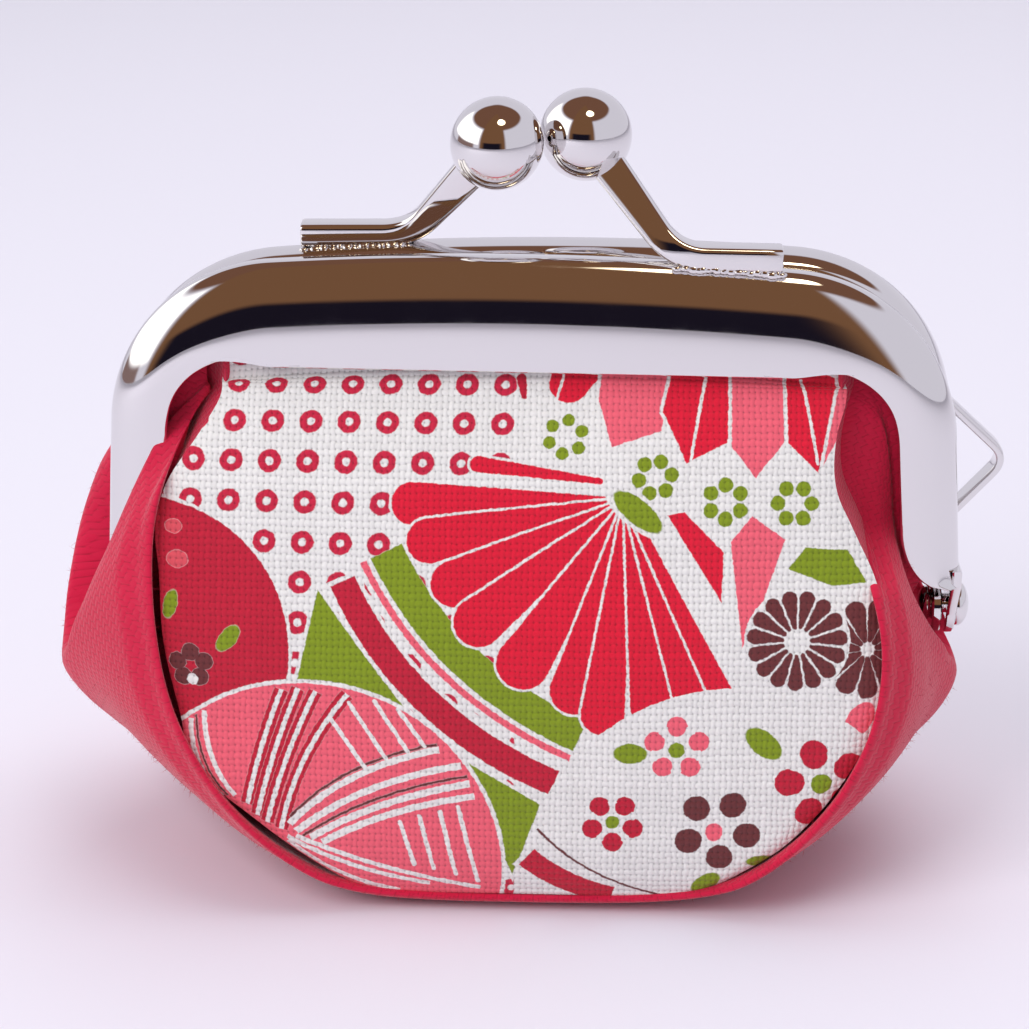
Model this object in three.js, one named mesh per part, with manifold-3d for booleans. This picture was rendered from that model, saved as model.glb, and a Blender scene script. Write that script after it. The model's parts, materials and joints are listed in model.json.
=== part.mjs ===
// A small clasp purse: a two-part metal frame with kissing balls over a soft cloth pouch.
// Millimetres, +Z up. The origin is the centre of the flat base, the front faces -Y and +X is the wide way.
import * as THREE from "three";
import { mergeVertices } from "three/addons/utils/BufferGeometryUtils.js";
import Module from "manifold-3d";

const wasm = await Module();
wasm.setup();

// Sizes of the metal frame. "in" is measured from its outline towards the pouch, "depth" from the parting plane.
const frame = {
  height: 46.3, // top of the crown above the base
  crownRadius: 250,
  crownRun: 18.8, // half of the nearly straight top
  cornerRadius: 12.9,
  armLean: THREE.MathUtils.degToRad(4), // each arm spreads this much towards its hinge
  faceTaper: 4.6, // the face narrows over this last stretch of the arm
  halfDepth: 4.9, // parting plane to the front face
  crestDepth: 2.5, // parting plane to the highest line of the roll
  sheet: 0.8,
  partingGap: 0.3,
  railFace: 8, // height of the face at the middle of the top, down to its straight lower edge
  armFace: 4.4, // face width along the arms
  railRoll: 7.2, // how far the round shoulder reaches in from the outline, along the top
  armRoll: 3.2,
  railValley: 1.2, // how far the two halves dip between their crests
  armValley: 0.7,
  railLip: 5, // inner wall of the channel
  armLip: 2.6,
};

const hinge = {
  height: 19,
  earRadius: 2.2,
  earSheet: 0.7,
  earClearance: 0.3,
  armAbove: 3.1, // from the pin up to where the arm's face has run out
  earOverlap: 1.2, // the ears reach this far up into the arms' side walls
  earSpread: 4.4, // depth at which an ear leaves its arm
  shankRadius: 0.75,
  holeClearance: 0.3,
  headRadius: 1.7,
  headHeight: 0.9,
  tailRadius: 1.3,
  tailHeight: 0.6,
};

const clasp = {
  ballRadius: 3.3,
  ballHeight: 7.9, // ball centre above the frame's top
  ballDepth: 1.5, // each ball has crossed this far over the parting plane
  backBallX: -2.55,
  frontBallX: 3.65,
  barWidth: 2.2,
  barHeight: 1.8,
  barSeat: 0.25, // the soldered bar sinks this far into the crest
  barBevel: 0.45,
  backBarStart: -17,
  backBarEnd: -8.9,
  frontBarStart: 17.7,
  frontBarEnd: 10.1,
  barDepth: 2.6, // bar's middle line from the parting plane
  stemWidth: 2.6,
  elbow: 1.3, // length of the bend between bar and stem
  stemThickness: 1.6,
};

const loop = {
  top: 34.2, // height of its upper foot
  bottom: 25.2,
  reach: 4.1, // how far its corner stands off the arm
  wire: 0.65,
  width: 2,
  depth: 2.2, // middle line from the parting plane
  cornerRadius: 1.5,
};

// Sizes of the cloth pouch.
const pouch = {
  panelHalfWidth: 26.5,
  halfDepth: 14.6,
  leftReach: 36.9, // middle of the frame to the left tip of the gusset
  rightReach: 33.1,
  tipHeight: 13.6,
  cloth: 1,
  leftFoldOver: 1, // the gusset folds forward over the whole left arm's foot, and not over the right one's
  rightFoldOver: 0,
  seamGap: 0.5, // panel edge to gusset edge
  metalGap: 0.4, // cloth to frame
  rim: 1.1, // the gusset's edge stands this far proud of the panel
  tuck: 2.6, // how far the cloth goes up into the frame's channel
  baseHalfWidth: 12.4,
  baseHalfDepth: 12.6,
  swell: 0.7, // the stuffed middle of a panel stands out this much
  leftBackBulge: 5, // the gusset swells out this far behind the left arm
  rightBackBulge: 0,
};

const railEdge = frame.height - frame.railFace;
const armEnd = hinge.height + hinge.armAbove;
const earTop = armEnd + hinge.earOverlap;

// Edge of a panel, bottom to top: height as a share of the rail's edge height, the left and right edges as
// shares of panelHalfWidth, and the depth as a share of halfDepth.
const panelEdge = [
  { level: 0.038, left: 0.453, right: 0.475, depth: 0.962 },
  { level: 0.081, left: 0.543, right: 0.57, depth: 0.986 },
  { level: 0.139, left: 0.657, right: 0.687, depth: 0.993 },
  { level: 0.196, left: 0.762, right: 0.77, depth: 0.976 },
  { level: 0.28, left: 0.905, right: 0.855, depth: 0.95 },
  { level: 0.38, left: 0.942, right: 0.928, depth: 0.897 },
  { level: 0.53, left: 0.989, right: 0.955, depth: 0.812 },
  { level: 0.645, left: 1, right: 0.921, depth: 0.709 },
  { level: 0.74, left: 1.01, right: 0.853, depth: 0.627 },
  { level: 0.8, left: 0.985, right: 0.808, depth: 0.568 },
  { level: 0.9, left: 0.887, right: 0.79, depth: 0.44 },
  { level: 0.953, left: 0.842, right: 0.774, depth: 0.345 },
];

// Lines across the gusset from the front seam to the middle, ridge first, then down and round to the base.
// "seam" is the height of its seam end and "level" that of its middle, as shares of the rail's edge height,
// "reach" the middle's distance as a share of the side's reach, "front" and "out" how far the line swells forward
// and sideways, as shares of halfDepth, and "bulge" its share of the back's bulge.
const gussetLines = [
  { seam: 0.79, reach: 1, level: pouch.tipHeight / railEdge, front: 0.14, out: 0, bulge: 1 },
  { seam: 0.69, reach: 0.965, level: 0.275, front: 0.12, out: 0.05, bulge: 0.85 },
  { seam: 0.535, reach: 0.87, level: 0.2, front: 0.1, out: 0.11, bulge: 0.45 },
  { seam: 0.37, reach: 0.745, level: 0.12, front: 0.1, out: 0.13, bulge: 0.15 },
  { seam: 0.21, reach: 0.6, level: 0.05, front: 0.08, out: 0.1, bulge: 0 },
  { seam: 0.1, reach: 0.46, level: 0.01, front: 0.05, out: 0.05, bulge: 0 },
];

// Makes a manifold solid of a closed geometry, turned so that its faces point out.
function solidOf(geometry) {
  const bare = geometry.index ? geometry.toNonIndexed() : geometry.clone();
  bare.deleteAttribute("normal");
  bare.deleteAttribute("uv");
  const merged = mergeVertices(bare, 1e-4);
  const triVerts = new Uint32Array(merged.index.array);
  const vertProperties = merged.attributes.position.array;
  const made = new wasm.Manifold(new wasm.Mesh({ numProp: 3, vertProperties, triVerts }));
  if (made.volume() > 0) return made;
  for (let i = 0; i < triVerts.length; i += 3) {
    [triVerts[i + 1], triVerts[i + 2]] = [triVerts[i + 2], triVerts[i + 1]];
  }
  return new wasm.Manifold(new wasm.Mesh({ numProp: 3, vertProperties, triVerts }));
}

function geometryOf(solid) {
  const { vertProperties, triVerts } = solid.getMesh();
  const geometry = new THREE.BufferGeometry();
  geometry.setAttribute("position", new THREE.BufferAttribute(new Float32Array(vertProperties), 3));
  geometry.setIndex(new THREE.BufferAttribute(new Uint32Array(triVerts), 1));
  return geometry;
}

function geometryFrom(points, faces) {
  const geometry = new THREE.BufferGeometry().setFromPoints(points);
  geometry.setIndex(faces);
  return geometry;
}

// Closed solid through a row of closed sections with equal point counts; flat ends cut by the end sections.
function loft(sections, endOutline) {
  const count = sections[0].length;
  const points = sections.flat();
  const faces = [];
  for (let row = 0; row + 1 < sections.length; row++) {
    for (let i = 0; i < count; i++) {
      const a = row * count + i;
      const b = row * count + ((i + 1) % count);
      faces.push(a, b, a + count, b, b + count, a + count);
    }
  }
  const last = (sections.length - 1) * count;
  const turned = THREE.ShapeUtils.isClockWise(endOutline);
  for (const face of THREE.ShapeUtils.triangulateShape(endOutline, [])) {
    const [a, b, c] = turned ? face.toReversed() : face;
    faces.push(c, b, a, last + a, last + b, last + c);
  }
  return geometryFrom(points, faces);
}

// Closed sheet under a grid of surface points, with its thickness at each column; "inward" turns the offset's side.
function sheetOf(grid, thicknessAt, inward) {
  const rows = grid.length;
  const columns = grid[0].length;
  const outer = grid.flat();
  const at = (row, column) => row * columns + column;
  const clampTo = (value, top) => Math.min(Math.max(value, 0), top);
  const inner = outer.map((point, index) => {
    const row = Math.floor(index / columns);
    const column = index % columns;
    const along = grid[clampTo(row + 1, rows - 1)][column].clone().sub(grid[clampTo(row - 1, rows - 1)][column]);
    const across = grid[row][clampTo(column + 1, columns - 1)].clone();
    across.sub(grid[row][clampTo(column - 1, columns - 1)]);
    const normal = along.cross(across).normalize();
    return point.clone().addScaledVector(normal, thicknessAt(column) * inward);
  });
  const faces = [];
  const quad = (a, b, c, d) => faces.push(a, b, c, a, c, d);
  for (let row = 0; row + 1 < rows; row++) {
    for (let column = 0; column + 1 < columns; column++) {
      const [a, b, c, d] = [at(row, column), at(row, column + 1), at(row + 1, column + 1), at(row + 1, column)];
      const under = outer.length;
      quad(a, b, c, d);
      quad(a + under, d + under, c + under, b + under);
    }
  }
  const rim = [];
  for (let column = 0; column + 1 < columns; column++) rim.push(at(0, column));
  for (let row = 0; row + 1 < rows; row++) rim.push(at(row, columns - 1));
  for (let column = columns - 1; column > 0; column--) rim.push(at(rows - 1, column));
  for (let row = rows - 1; row > 0; row--) rim.push(at(row, 0));
  rim.forEach((a, index) => {
    const b = rim[(index + 1) % rim.length];
    quad(b, a, a + outer.length, b + outer.length);
  });
  return geometryFrom([...outer, ...inner], faces);
}

const blend = (from, to, share) => from + (to - from) * THREE.MathUtils.smoothstep(share, 0, 1);

// One side of the frame's outline: the point, the inward direction and the section's sizes at a run along it.
const crownTurn = Math.asin(frame.crownRun / frame.crownRadius);
const crownLength = frame.crownRadius * crownTurn;
const cornerTurn = Math.PI / 2 - frame.armLean - crownTurn;
const cornerLength = frame.cornerRadius * cornerTurn;
const cornerCentre = new THREE.Vector2(
  (frame.crownRadius - frame.cornerRadius) * Math.sin(crownTurn),
  frame.height - frame.crownRadius + (frame.crownRadius - frame.cornerRadius) * Math.cos(crownTurn),
);
const armStart = new THREE.Vector2(
  cornerCentre.x + frame.cornerRadius * Math.cos(frame.armLean),
  cornerCentre.y + frame.cornerRadius * Math.sin(frame.armLean),
);
const armLength = (armStart.y - armEnd) / Math.cos(frame.armLean);
const sideLength = crownLength + cornerLength + armLength;

function outlineAt(run) {
  if (run <= crownLength) {
    const angle = run / frame.crownRadius;
    return {
      x: frame.crownRadius * Math.sin(angle),
      z: frame.height - frame.crownRadius * (1 - Math.cos(angle)),
      inX: -Math.sin(angle),
      inZ: -Math.cos(angle),
    };
  }
  if (run <= crownLength + cornerLength) {
    const angle = crownTurn + (run - crownLength) / frame.cornerRadius;
    return {
      x: cornerCentre.x + frame.cornerRadius * Math.sin(angle),
      z: cornerCentre.y + frame.cornerRadius * Math.cos(angle),
      inX: -Math.sin(angle),
      inZ: -Math.cos(angle),
    };
  }
  const drop = run - crownLength - cornerLength;
  return {
    x: armStart.x + drop * Math.sin(frame.armLean),
    z: armStart.y - drop * Math.cos(frame.armLean),
    inX: -Math.cos(frame.armLean),
    inZ: -Math.sin(frame.armLean),
  };
}

// Sizes of the section at a run: they change over the corner, and the face runs out at the arm's end.
function sizesAt(run) {
  const round = (run - crownLength) / (cornerLength * 0.85);
  const left = THREE.MathUtils.clamp((sideLength - run) / frame.faceTaper, 0, 1);
  const narrow = Math.sqrt(1 - (1 - left) ** 2);
  const least = frame.sheet * 1.5;
  const endRoll = 1 - (least * 0.8) / frame.armRoll;
  const { z, inZ } = outlineAt(Math.min(run, crownLength + cornerLength / 3));
  const toStraightEdge = (z - railEdge) / -inZ;
  return {
    face: least + (blend(toStraightEdge, frame.armFace, round) - least) * narrow,
    roll: blend(frame.railRoll, frame.armRoll, round) * (1 - (1 - narrow) * endRoll),
    valley: blend(frame.railValley, frame.armValley, round),
    lip: blend(frame.railLip, frame.armLip, round) * (0.55 + 0.45 * narrow),
  };
}

// The folded section of one frame half as (in, depth) points: over the crest, round the shoulder, down the face
// and back along the inside of the sheet.
function channelSection({ face, roll, valley, lip }) {
  const gap = frame.partingGap / 2;
  const points = [];
  const add = (inward, depth) => points.push(new THREE.Vector2(inward, depth));
  const steps = 5;
  for (let i = 0; i <= steps; i++) {
    const angle = (i / steps) * (Math.PI / 2);
    add(valley * (1 - Math.sin(angle)), frame.crestDepth - (frame.crestDepth - gap) * Math.cos(angle));
  }
  for (let i = 1; i <= steps; i++) {
    const angle = (i / steps) * (Math.PI / 2);
    add(roll * (1 - Math.cos(angle)), frame.crestDepth + (frame.halfDepth - frame.crestDepth) * Math.sin(angle));
  }
  add(face, frame.halfDepth);
  add(face, frame.halfDepth - frame.sheet);
  const innerSteps = 4;
  const innerReach = face - frame.sheet / 4;
  for (let i = innerSteps; i > 0; i--) {
    const angle = (i / innerSteps) * (Math.PI / 2);
    const inward = Math.max(roll * (1 - Math.cos(angle)) + frame.sheet * 0.6, frame.sheet * (1.1 + i / 100));
    const depth = frame.crestDepth + (frame.halfDepth - frame.sheet - frame.crestDepth) * Math.sin(angle);
    add(Math.min(inward, innerReach - (innerSteps - i) * 0.01), depth);
  }
  add(frame.sheet * 1.1, frame.crestDepth - frame.sheet / 2);
  add(valley + frame.sheet * 0.4, gap + frame.sheet);
  add(Math.max(lip, valley + frame.sheet), gap + frame.sheet);
  add(Math.max(lip, valley + frame.sheet), gap);
  return points;
}

// Runs from the left hinge over the top to the right one, with the side that each is on.
function frameRuns() {
  const runs = [];
  const stretches = [
    { from: 0, length: crownLength, steps: 2 },
    { from: crownLength, length: cornerLength, steps: 8 },
    { from: crownLength + cornerLength, length: armLength - frame.faceTaper, steps: 2 },
    { from: sideLength - frame.faceTaper, length: frame.faceTaper, steps: 4 },
  ];
  for (const { from, length, steps } of stretches) {
    for (let i = 1; i <= steps; i++) runs.push(from + (length * i) / steps);
  }
  const left = runs.map((run) => ({ run, side: -1 })).reverse();
  const right = runs.map((run) => ({ run, side: 1 }));
  return [...left, { run: 0, side: 1 }, ...right];
}

// A point of the frame at a run, "inward" from its outline and at a depth; facing is -1 in front, 1 behind.
function framePoint({ run, side }, inward, depth, facing) {
  const { x, z, inX, inZ } = outlineAt(run);
  return new THREE.Vector3(side * (x + inX * inward), facing * depth, z + inZ * inward);
}

function channelSolid(facing) {
  const runs = frameRuns();
  const sections = runs.map((place) =>
    channelSection(sizesAt(place.run)).map((point) => framePoint(place, point.x, point.y, facing)),
  );
  return solidOf(loft(sections, channelSection(sizesAt(sideLength))));
}

// A flat lug round the hinge pin. The front half's lug continues the arm's side wall, and the back half's is
// joggled inward by one pitch, so that it lies inside the front one.
const earOuterX = outlineAt(sideLength).x;
const earPitch = hinge.earSheet + hinge.earClearance;

function earSolid(side, facing) {
  const outerX = earOuterX - (facing > 0 ? earPitch : 0);
  const outline = new THREE.Shape();
  outline.moveTo(facing * frame.sheet, earTop);
  outline.lineTo(facing * hinge.earSpread, earTop);
  outline.lineTo(facing * hinge.earSpread, armEnd);
  const steps = 9;
  for (let i = 0; i <= steps; i++) {
    const angle = (i / steps) * Math.PI * 1.2;
    outline.lineTo(
      facing * hinge.earRadius * Math.cos(angle),
      hinge.height - hinge.earRadius * Math.sin(angle),
    );
  }
  outline.lineTo(facing * frame.sheet, hinge.height + hinge.earRadius);
  const lug = plateAcross(outline, side, outerX, hinge.earSheet);
  const holeRadius = hinge.shankRadius + hinge.holeClearance;
  const hole = new THREE.CylinderGeometry(holeRadius, holeRadius, hinge.earSheet * 4, 16);
  hole.rotateZ(Math.PI / 2);
  hole.translate(side * (outerX - hinge.earSheet / 2), 0, hinge.height);
  const ear = lug.subtract(solidOf(hole));
  if (facing < 0) return ear;
  const joggle = new THREE.Shape();
  const joggleBottom = hinge.height + hinge.earRadius + hinge.earClearance;
  joggle.moveTo(hinge.earRadius, joggleBottom);
  joggle.lineTo(hinge.earSpread, armEnd);
  joggle.lineTo(hinge.earSpread, earTop);
  joggle.lineTo(hinge.earRadius, earTop);
  return ear.add(plateAcross(joggle, side, earOuterX, earPitch + hinge.earSheet));
}

// Plate with a (y, z) outline whose outer face lies at outerX on the given side.
function plateAcross(outline, side, outerX, thickness) {
  const plate = new THREE.ExtrudeGeometry(outline, { depth: thickness, bevelEnabled: false });
  const yz = new THREE.Matrix4().makeBasis(
    new THREE.Vector3(0, 1, 0),
    new THREE.Vector3(0, 0, 1),
    new THREE.Vector3(1, 0, 0),
  );
  plate.applyMatrix4(yz);
  plate.translate(side > 0 ? outerX - thickness : -outerX, 0, 0);
  return solidOf(plate);
}

// Bevelled rectangle across a path in a plane of constant depth: "rise" along its normal, "width" in depth.
function barSection(centre, normal, rise, width) {
  const bevel = clasp.barBevel;
  const corners = [
    [rise / 2, width / 2 - bevel],
    [rise / 2 - bevel, width / 2],
    [bevel - rise / 2, width / 2],
    [-rise / 2, width / 2 - bevel],
    [-rise / 2, bevel - width / 2],
    [bevel - rise / 2, -width / 2],
    [rise / 2 - bevel, -width / 2],
    [rise / 2, bevel - width / 2],
  ];
  return corners.map(([up, depth]) =>
    new THREE.Vector3(centre.x + normal.x * up, centre.y + depth, centre.z + normal.y * up),
  );
}

// Soldered bar, stem and ball of one half, in one piece. The ball crosses over to the other half's side.
function claspSolid(facing) {
  const { barHeight, barWidth, stemWidth, stemThickness } = clasp;
  const [startX, endX, ballX] =
    facing > 0
      ? [clasp.backBarStart, clasp.backBarEnd, clasp.backBallX]
      : [clasp.frontBarStart, clasp.frontBarEnd, clasp.frontBallX];
  const crownAtBar = outlineAt(Math.abs(startX + endX) / 2).z;
  const barZ = crownAtBar - clasp.barSeat + barHeight / 2;
  const barY = facing * clasp.barDepth;
  const ball = new THREE.Vector3(ballX, -facing * clasp.ballDepth, frame.height + clasp.ballHeight);
  const barEnd = new THREE.Vector3(endX, barY, barZ);
  const rise = new THREE.Vector2(ball.x - barEnd.x, ball.z - barEnd.z).normalize();
  const up = new THREE.Vector2(0, 1);
  const stemNormal = new THREE.Vector2(-rise.y, rise.x).multiplyScalar(Math.sign(rise.x));
  const elbowNormal = up.clone().add(stemNormal).normalize();
  const beforeElbow = barEnd.clone().sub(new THREE.Vector3(Math.sign(rise.x) * clasp.elbow, 0, 0));
  const elbow = barEnd.clone().lerp(ball, (clasp.elbow * 0.3) / barEnd.distanceTo(ball));
  const sections = [
    barSection(new THREE.Vector3(startX, barY, barZ), up, barHeight, barWidth),
    barSection(beforeElbow, up, barHeight, barWidth),
    barSection(elbow, elbowNormal, (barHeight + stemWidth) / 2, barWidth),
  ];
  const stemSteps = 4;
  for (let i = 1; i <= stemSteps; i++) {
    const share = i / stemSteps;
    const width = THREE.MathUtils.lerp(barWidth, stemThickness, share);
    sections.push(barSection(barEnd.clone().lerp(ball, share), stemNormal, stemWidth, width));
  }
  const square = [
    [1, 0.5],
    [0.5, 1],
    [-0.5, 1],
    [-1, 0.5],
    [-1, -0.5],
    [-0.5, -1],
    [0.5, -1],
    [1, -0.5],
  ].map(([x, y]) => new THREE.Vector2(x, y));
  const sphere = new THREE.SphereGeometry(clasp.ballRadius, 20, 14);
  sphere.translate(ball.x, ball.y, ball.z);
  return solidOf(loft(sections, square)).add(solidOf(sphere));
}

// Flat strip bent to a three-cornered loop on the right arm, for a chain or charm.
function loopSolid() {
  const path = new THREE.Path();
  const foot = (height) => {
    const drop = (armStart.y - height) / Math.cos(frame.armLean);
    return outlineAt(crownLength + cornerLength + drop).x - frame.sheet / 2;
  };
  const cornerZ = (loop.top + loop.bottom) / 2;
  const corner = new THREE.Vector2(foot(cornerZ) + frame.sheet / 2 + loop.reach, cornerZ);
  const start = new THREE.Vector2(foot(loop.top), loop.top);
  const end = new THREE.Vector2(foot(loop.bottom), loop.bottom);
  const toCorner = corner.clone().sub(start).setLength(loop.cornerRadius);
  const fromCorner = end.clone().sub(corner).setLength(loop.cornerRadius);
  path.moveTo(start.x, start.y);
  path.lineTo(corner.x - toCorner.x, corner.y - toCorner.y);
  path.quadraticCurveTo(corner.x, corner.y, corner.x + fromCorner.x, corner.y + fromCorner.y);
  path.lineTo(end.x, end.y);
  const points = path.getPoints(6);
  const sections = points.map((point, i) => {
    const before = points[Math.max(i - 1, 0)];
    const after = points[Math.min(i + 1, points.length - 1)];
    const along = after.clone().sub(before).normalize();
    return [
      [1, 1],
      [1, -1],
      [-1, -1],
      [-1, 1],
    ].map(
      ([out, deep]) =>
        new THREE.Vector3(
          point.x + (along.y * out * loop.wire) / 2,
          loop.depth + (deep * loop.width) / 2,
          point.y - (along.x * out * loop.wire) / 2,
        ),
    );
  });
  const rectangle = [new THREE.Vector2(1, 1), new THREE.Vector2(1, -1), new THREE.Vector2(-1, -1)];
  return solidOf(loft(sections, [...rectangle, new THREE.Vector2(-1, 1)]));
}

function frameHalf(facing) {
  let half = channelSolid(facing).add(claspSolid(facing));
  for (const side of [-1, 1]) half = half.add(earSolid(side, facing));
  return facing > 0 ? half.add(loopSolid()) : half;
}

// Headed pin through both ears: a dome outside, a shank with clearance and a flat tail inside.
function rivetGeometry(side) {
  const headFace = earOuterX + hinge.earClearance;
  const tailFace = earOuterX - earPitch - hinge.earSheet - hinge.earClearance;
  const profile = [
    new THREE.Vector2(0, tailFace - hinge.tailHeight),
    new THREE.Vector2(hinge.tailRadius, tailFace - hinge.tailHeight),
    new THREE.Vector2(hinge.tailRadius, tailFace),
    new THREE.Vector2(hinge.shankRadius, tailFace),
    new THREE.Vector2(hinge.shankRadius, headFace),
    new THREE.Vector2(hinge.headRadius, headFace),
  ];
  const steps = 4;
  for (let i = 1; i <= steps; i++) {
    const angle = (i / steps) * (Math.PI / 2);
    const radius = i === steps ? 0 : hinge.headRadius * Math.cos(angle);
    profile.push(new THREE.Vector2(radius, headFace + hinge.headHeight * Math.sin(angle)));
  }
  const pin = new THREE.LatheGeometry(profile, 16);
  pin.rotateZ(-Math.PI / 2);
  if (side < 0) pin.rotateZ(Math.PI);
  pin.translate(0, 0, hinge.height);
  return geometryOf(solidOf(pin));
}

// Place on a panel's edge at a height share: x, z, depth and the outward direction in the panel.
function panelEdgeAt(level, side) {
  const key = side < 0 ? "left" : "right";
  const last = panelEdge.length - 2;
  let i = panelEdge.findIndex((row) => row.level > level) - 1;
  if (i === -2) i = last;
  i = THREE.MathUtils.clamp(i, 0, last);
  const [low, high] = [panelEdge[i], panelEdge[i + 1]];
  const share = (level - low.level) / (high.level - low.level);
  const x = THREE.MathUtils.lerp(low[key], high[key], share) * pouch.panelHalfWidth;
  const depth = THREE.MathUtils.lerp(low.depth, high.depth, share) * pouch.halfDepth;
  const runX = (high[key] - low[key]) * pouch.panelHalfWidth;
  const runZ = (high.level - low.level) * railEdge;
  const length = Math.hypot(runX, runZ);
  return { x, z: level * railEdge, depth, outX: runZ / length, outZ: -runX / length };
}

// Printed panel: a sheet across its edge table, its top tucked up behind the face of the rail.
function panelGeometry(facing) {
  const columns = 8;
  const tuckDepth = frame.halfDepth - frame.sheet - pouch.metalGap;
  const top = panelEdge[panelEdge.length - 1];
  const levels = panelEdge.map((row) => row.level);
  const rows = levels.map((level) => {
    const left = panelEdgeAt(level, -1);
    const right = panelEdgeAt(level, 1);
    return { z: left.z, left: left.x, right: right.x, depth: left.depth, full: Math.sin(Math.PI * level) };
  });
  for (const rise of [-pouch.metalGap, pouch.tuck / 2, pouch.tuck]) {
    rows.push({
      z: railEdge + rise,
      left: top.left * pouch.panelHalfWidth - Math.max(rise, 0) / 2,
      right: top.right * pouch.panelHalfWidth - Math.max(rise, 0) / 2,
      depth: tuckDepth,
      full: 0,
      underRail: true,
    });
  }
  const grid = rows.map(({ z, left, right, depth, full, underRail }) => {
    const points = [];
    for (let column = 0; column <= columns; column++) {
      const share = column / columns;
      const x = THREE.MathUtils.lerp(-left + pouch.seamGap, right - pouch.seamGap, share);
      const swell = pouch.swell * full * Math.sin(Math.PI * share);
      const crownDrop = frame.crownRadius - Math.sqrt(frame.crownRadius ** 2 - x ** 2);
      points.push(new THREE.Vector3(x, facing * (depth + swell), underRail ? z - crownDrop : z));
    }
    return points;
  });
  return geometryOf(solidOf(sheetOf(grid, () => pouch.cloth, -facing)));
}

// Columns across the gusset, as shares of the way from a seam to its middle line.
const gussetColumns = [0, 0.12, 0.3, 0.5, 0.7, 0.87, 1];

// One line across the gusset on a side, from the front seam to the middle.
function gussetLine({ seam, reach, level, front, out }, side) {
  const sideReach = side < 0 ? pouch.leftReach : pouch.rightReach;
  const start = seamPoint(seam, side);
  const middle = new THREE.Vector3(side * sideReach * reach, 0, level * railEdge);
  return gussetColumns.map((share) => {
    const point = start.clone().lerp(middle, share);
    const swell = pouch.halfDepth * Math.sin(Math.PI * share);
    point.x += side * swell * out;
    point.y -= swell * front + pouch.rim * Math.max(0, 1 - share * 2.5);
    point.z = Math.max(point.z, 0);
    return point;
  });
}

// Where the gusset's edge lies beside the front panel's, at a height share.
function seamPoint(level, side) {
  const edge = panelEdgeAt(level, side);
  const clear = pouch.seamGap + pouch.cloth * 0.8;
  return new THREE.Vector3(side * (edge.x + edge.outX * clear), -edge.depth, edge.z + edge.outZ * clear);
}

// The gusset's top edge: the line tucked into an arm's channel, the lines behind and before the free edge of
// the arm's face, and the one where it folds over the face. At the hinge all four run below the pin.
function armLines(side) {
  const foldOver = side < 0 ? pouch.leftFoldOver : pouch.rightFoldOver;
  const pinInnerX = earOuterX - earPitch - hinge.earSheet - hinge.tailHeight - 2 * hinge.earClearance;
  const pinOuterX = earOuterX + hinge.headHeight + 2 * hinge.earClearance;
  const belowPin = hinge.height - hinge.earRadius - pouch.metalGap;
  const hollow = frame.halfDepth - frame.sheet - pouch.metalGap;
  const firstRun = crownLength + cornerLength * 0.65;
  const taperShare = (sideLength - frame.faceTaper - firstRun) / (sideLength - firstRun);
  const armPoints = (inwardAt, depth) =>
    [0, taperShare / 2, taperShare, 1].map((share) => {
      const run = THREE.MathUtils.lerp(firstRun, sideLength, share);
      return framePoint({ run, side }, inwardAt(sizesAt(run).face, share), depth, -1);
    });
  const pinPoints = (x, depth, rise) => [
    new THREE.Vector3(side * x, -depth, belowPin + rise),
    new THREE.Vector3(side * x, 0, belowPin - pouch.cloth),
  ];
  const clearOfWall = frame.sheet + pouch.cloth + pouch.metalGap;
  const insideFace = (face) => Math.max(face * 0.6, clearOfWall);
  const pastFace = (face) => Math.max(face, clearOfWall + 4 * pouch.metalGap) + pouch.metalGap;
  const inFront = frame.halfDepth + pouch.metalGap;
  const seamTop = (depth, rise) => {
    const point = seamPoint(panelEdge.at(-1).level, side);
    return point.set(point.x, -depth, railEdge + rise);
  };
  const tucked = [
    seamTop(hollow - pouch.cloth / 2, pouch.tuck / 2),
    ...armPoints(insideFace, hollow - pouch.cloth / 2),
    ...pinPoints(pinInnerX - pouch.cloth, hinge.tailRadius, 3),
  ];
  const mouth = [
    seamTop(hollow, -2 * pouch.cloth),
    ...armPoints(pastFace, hollow),
    ...pinPoints(pinInnerX - pouch.metalGap, hinge.earRadius, 0.6),
  ];
  const hemmed = [
    seamPoint(0.93, side),
    ...armPoints(pastFace, inFront),
    ...pinPoints(pinInnerX + pouch.metalGap, hinge.earRadius + pouch.metalGap, 0.4),
  ];
  const foldedInward = (face, share) => THREE.MathUtils.lerp(pastFace(face), -pouch.metalGap, foldOver * share);
  const folded = [
    seamPoint(0.85, side),
    ...armPoints(foldedInward, inFront + pouch.metalGap / 2),
    ...pinPoints(THREE.MathUtils.lerp(pinInnerX + 1, pinOuterX, foldOver), hinge.earRadius + pouch.cloth, 0.4),
  ];
  return [tucked, mouth, hemmed, folded];
}

// The back half of a line across the gusset: its front half mirrored, and swollen sideways between its ends.
function backOf(half, bulge) {
  const back = half.slice(0, -1).map((point, i) => {
    const swell = bulge * Math.sin(Math.PI * Math.sqrt(gussetColumns[i]));
    return new THREE.Vector3(point.x + swell, -point.y, point.z);
  });
  return back.reverse();
}

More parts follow.
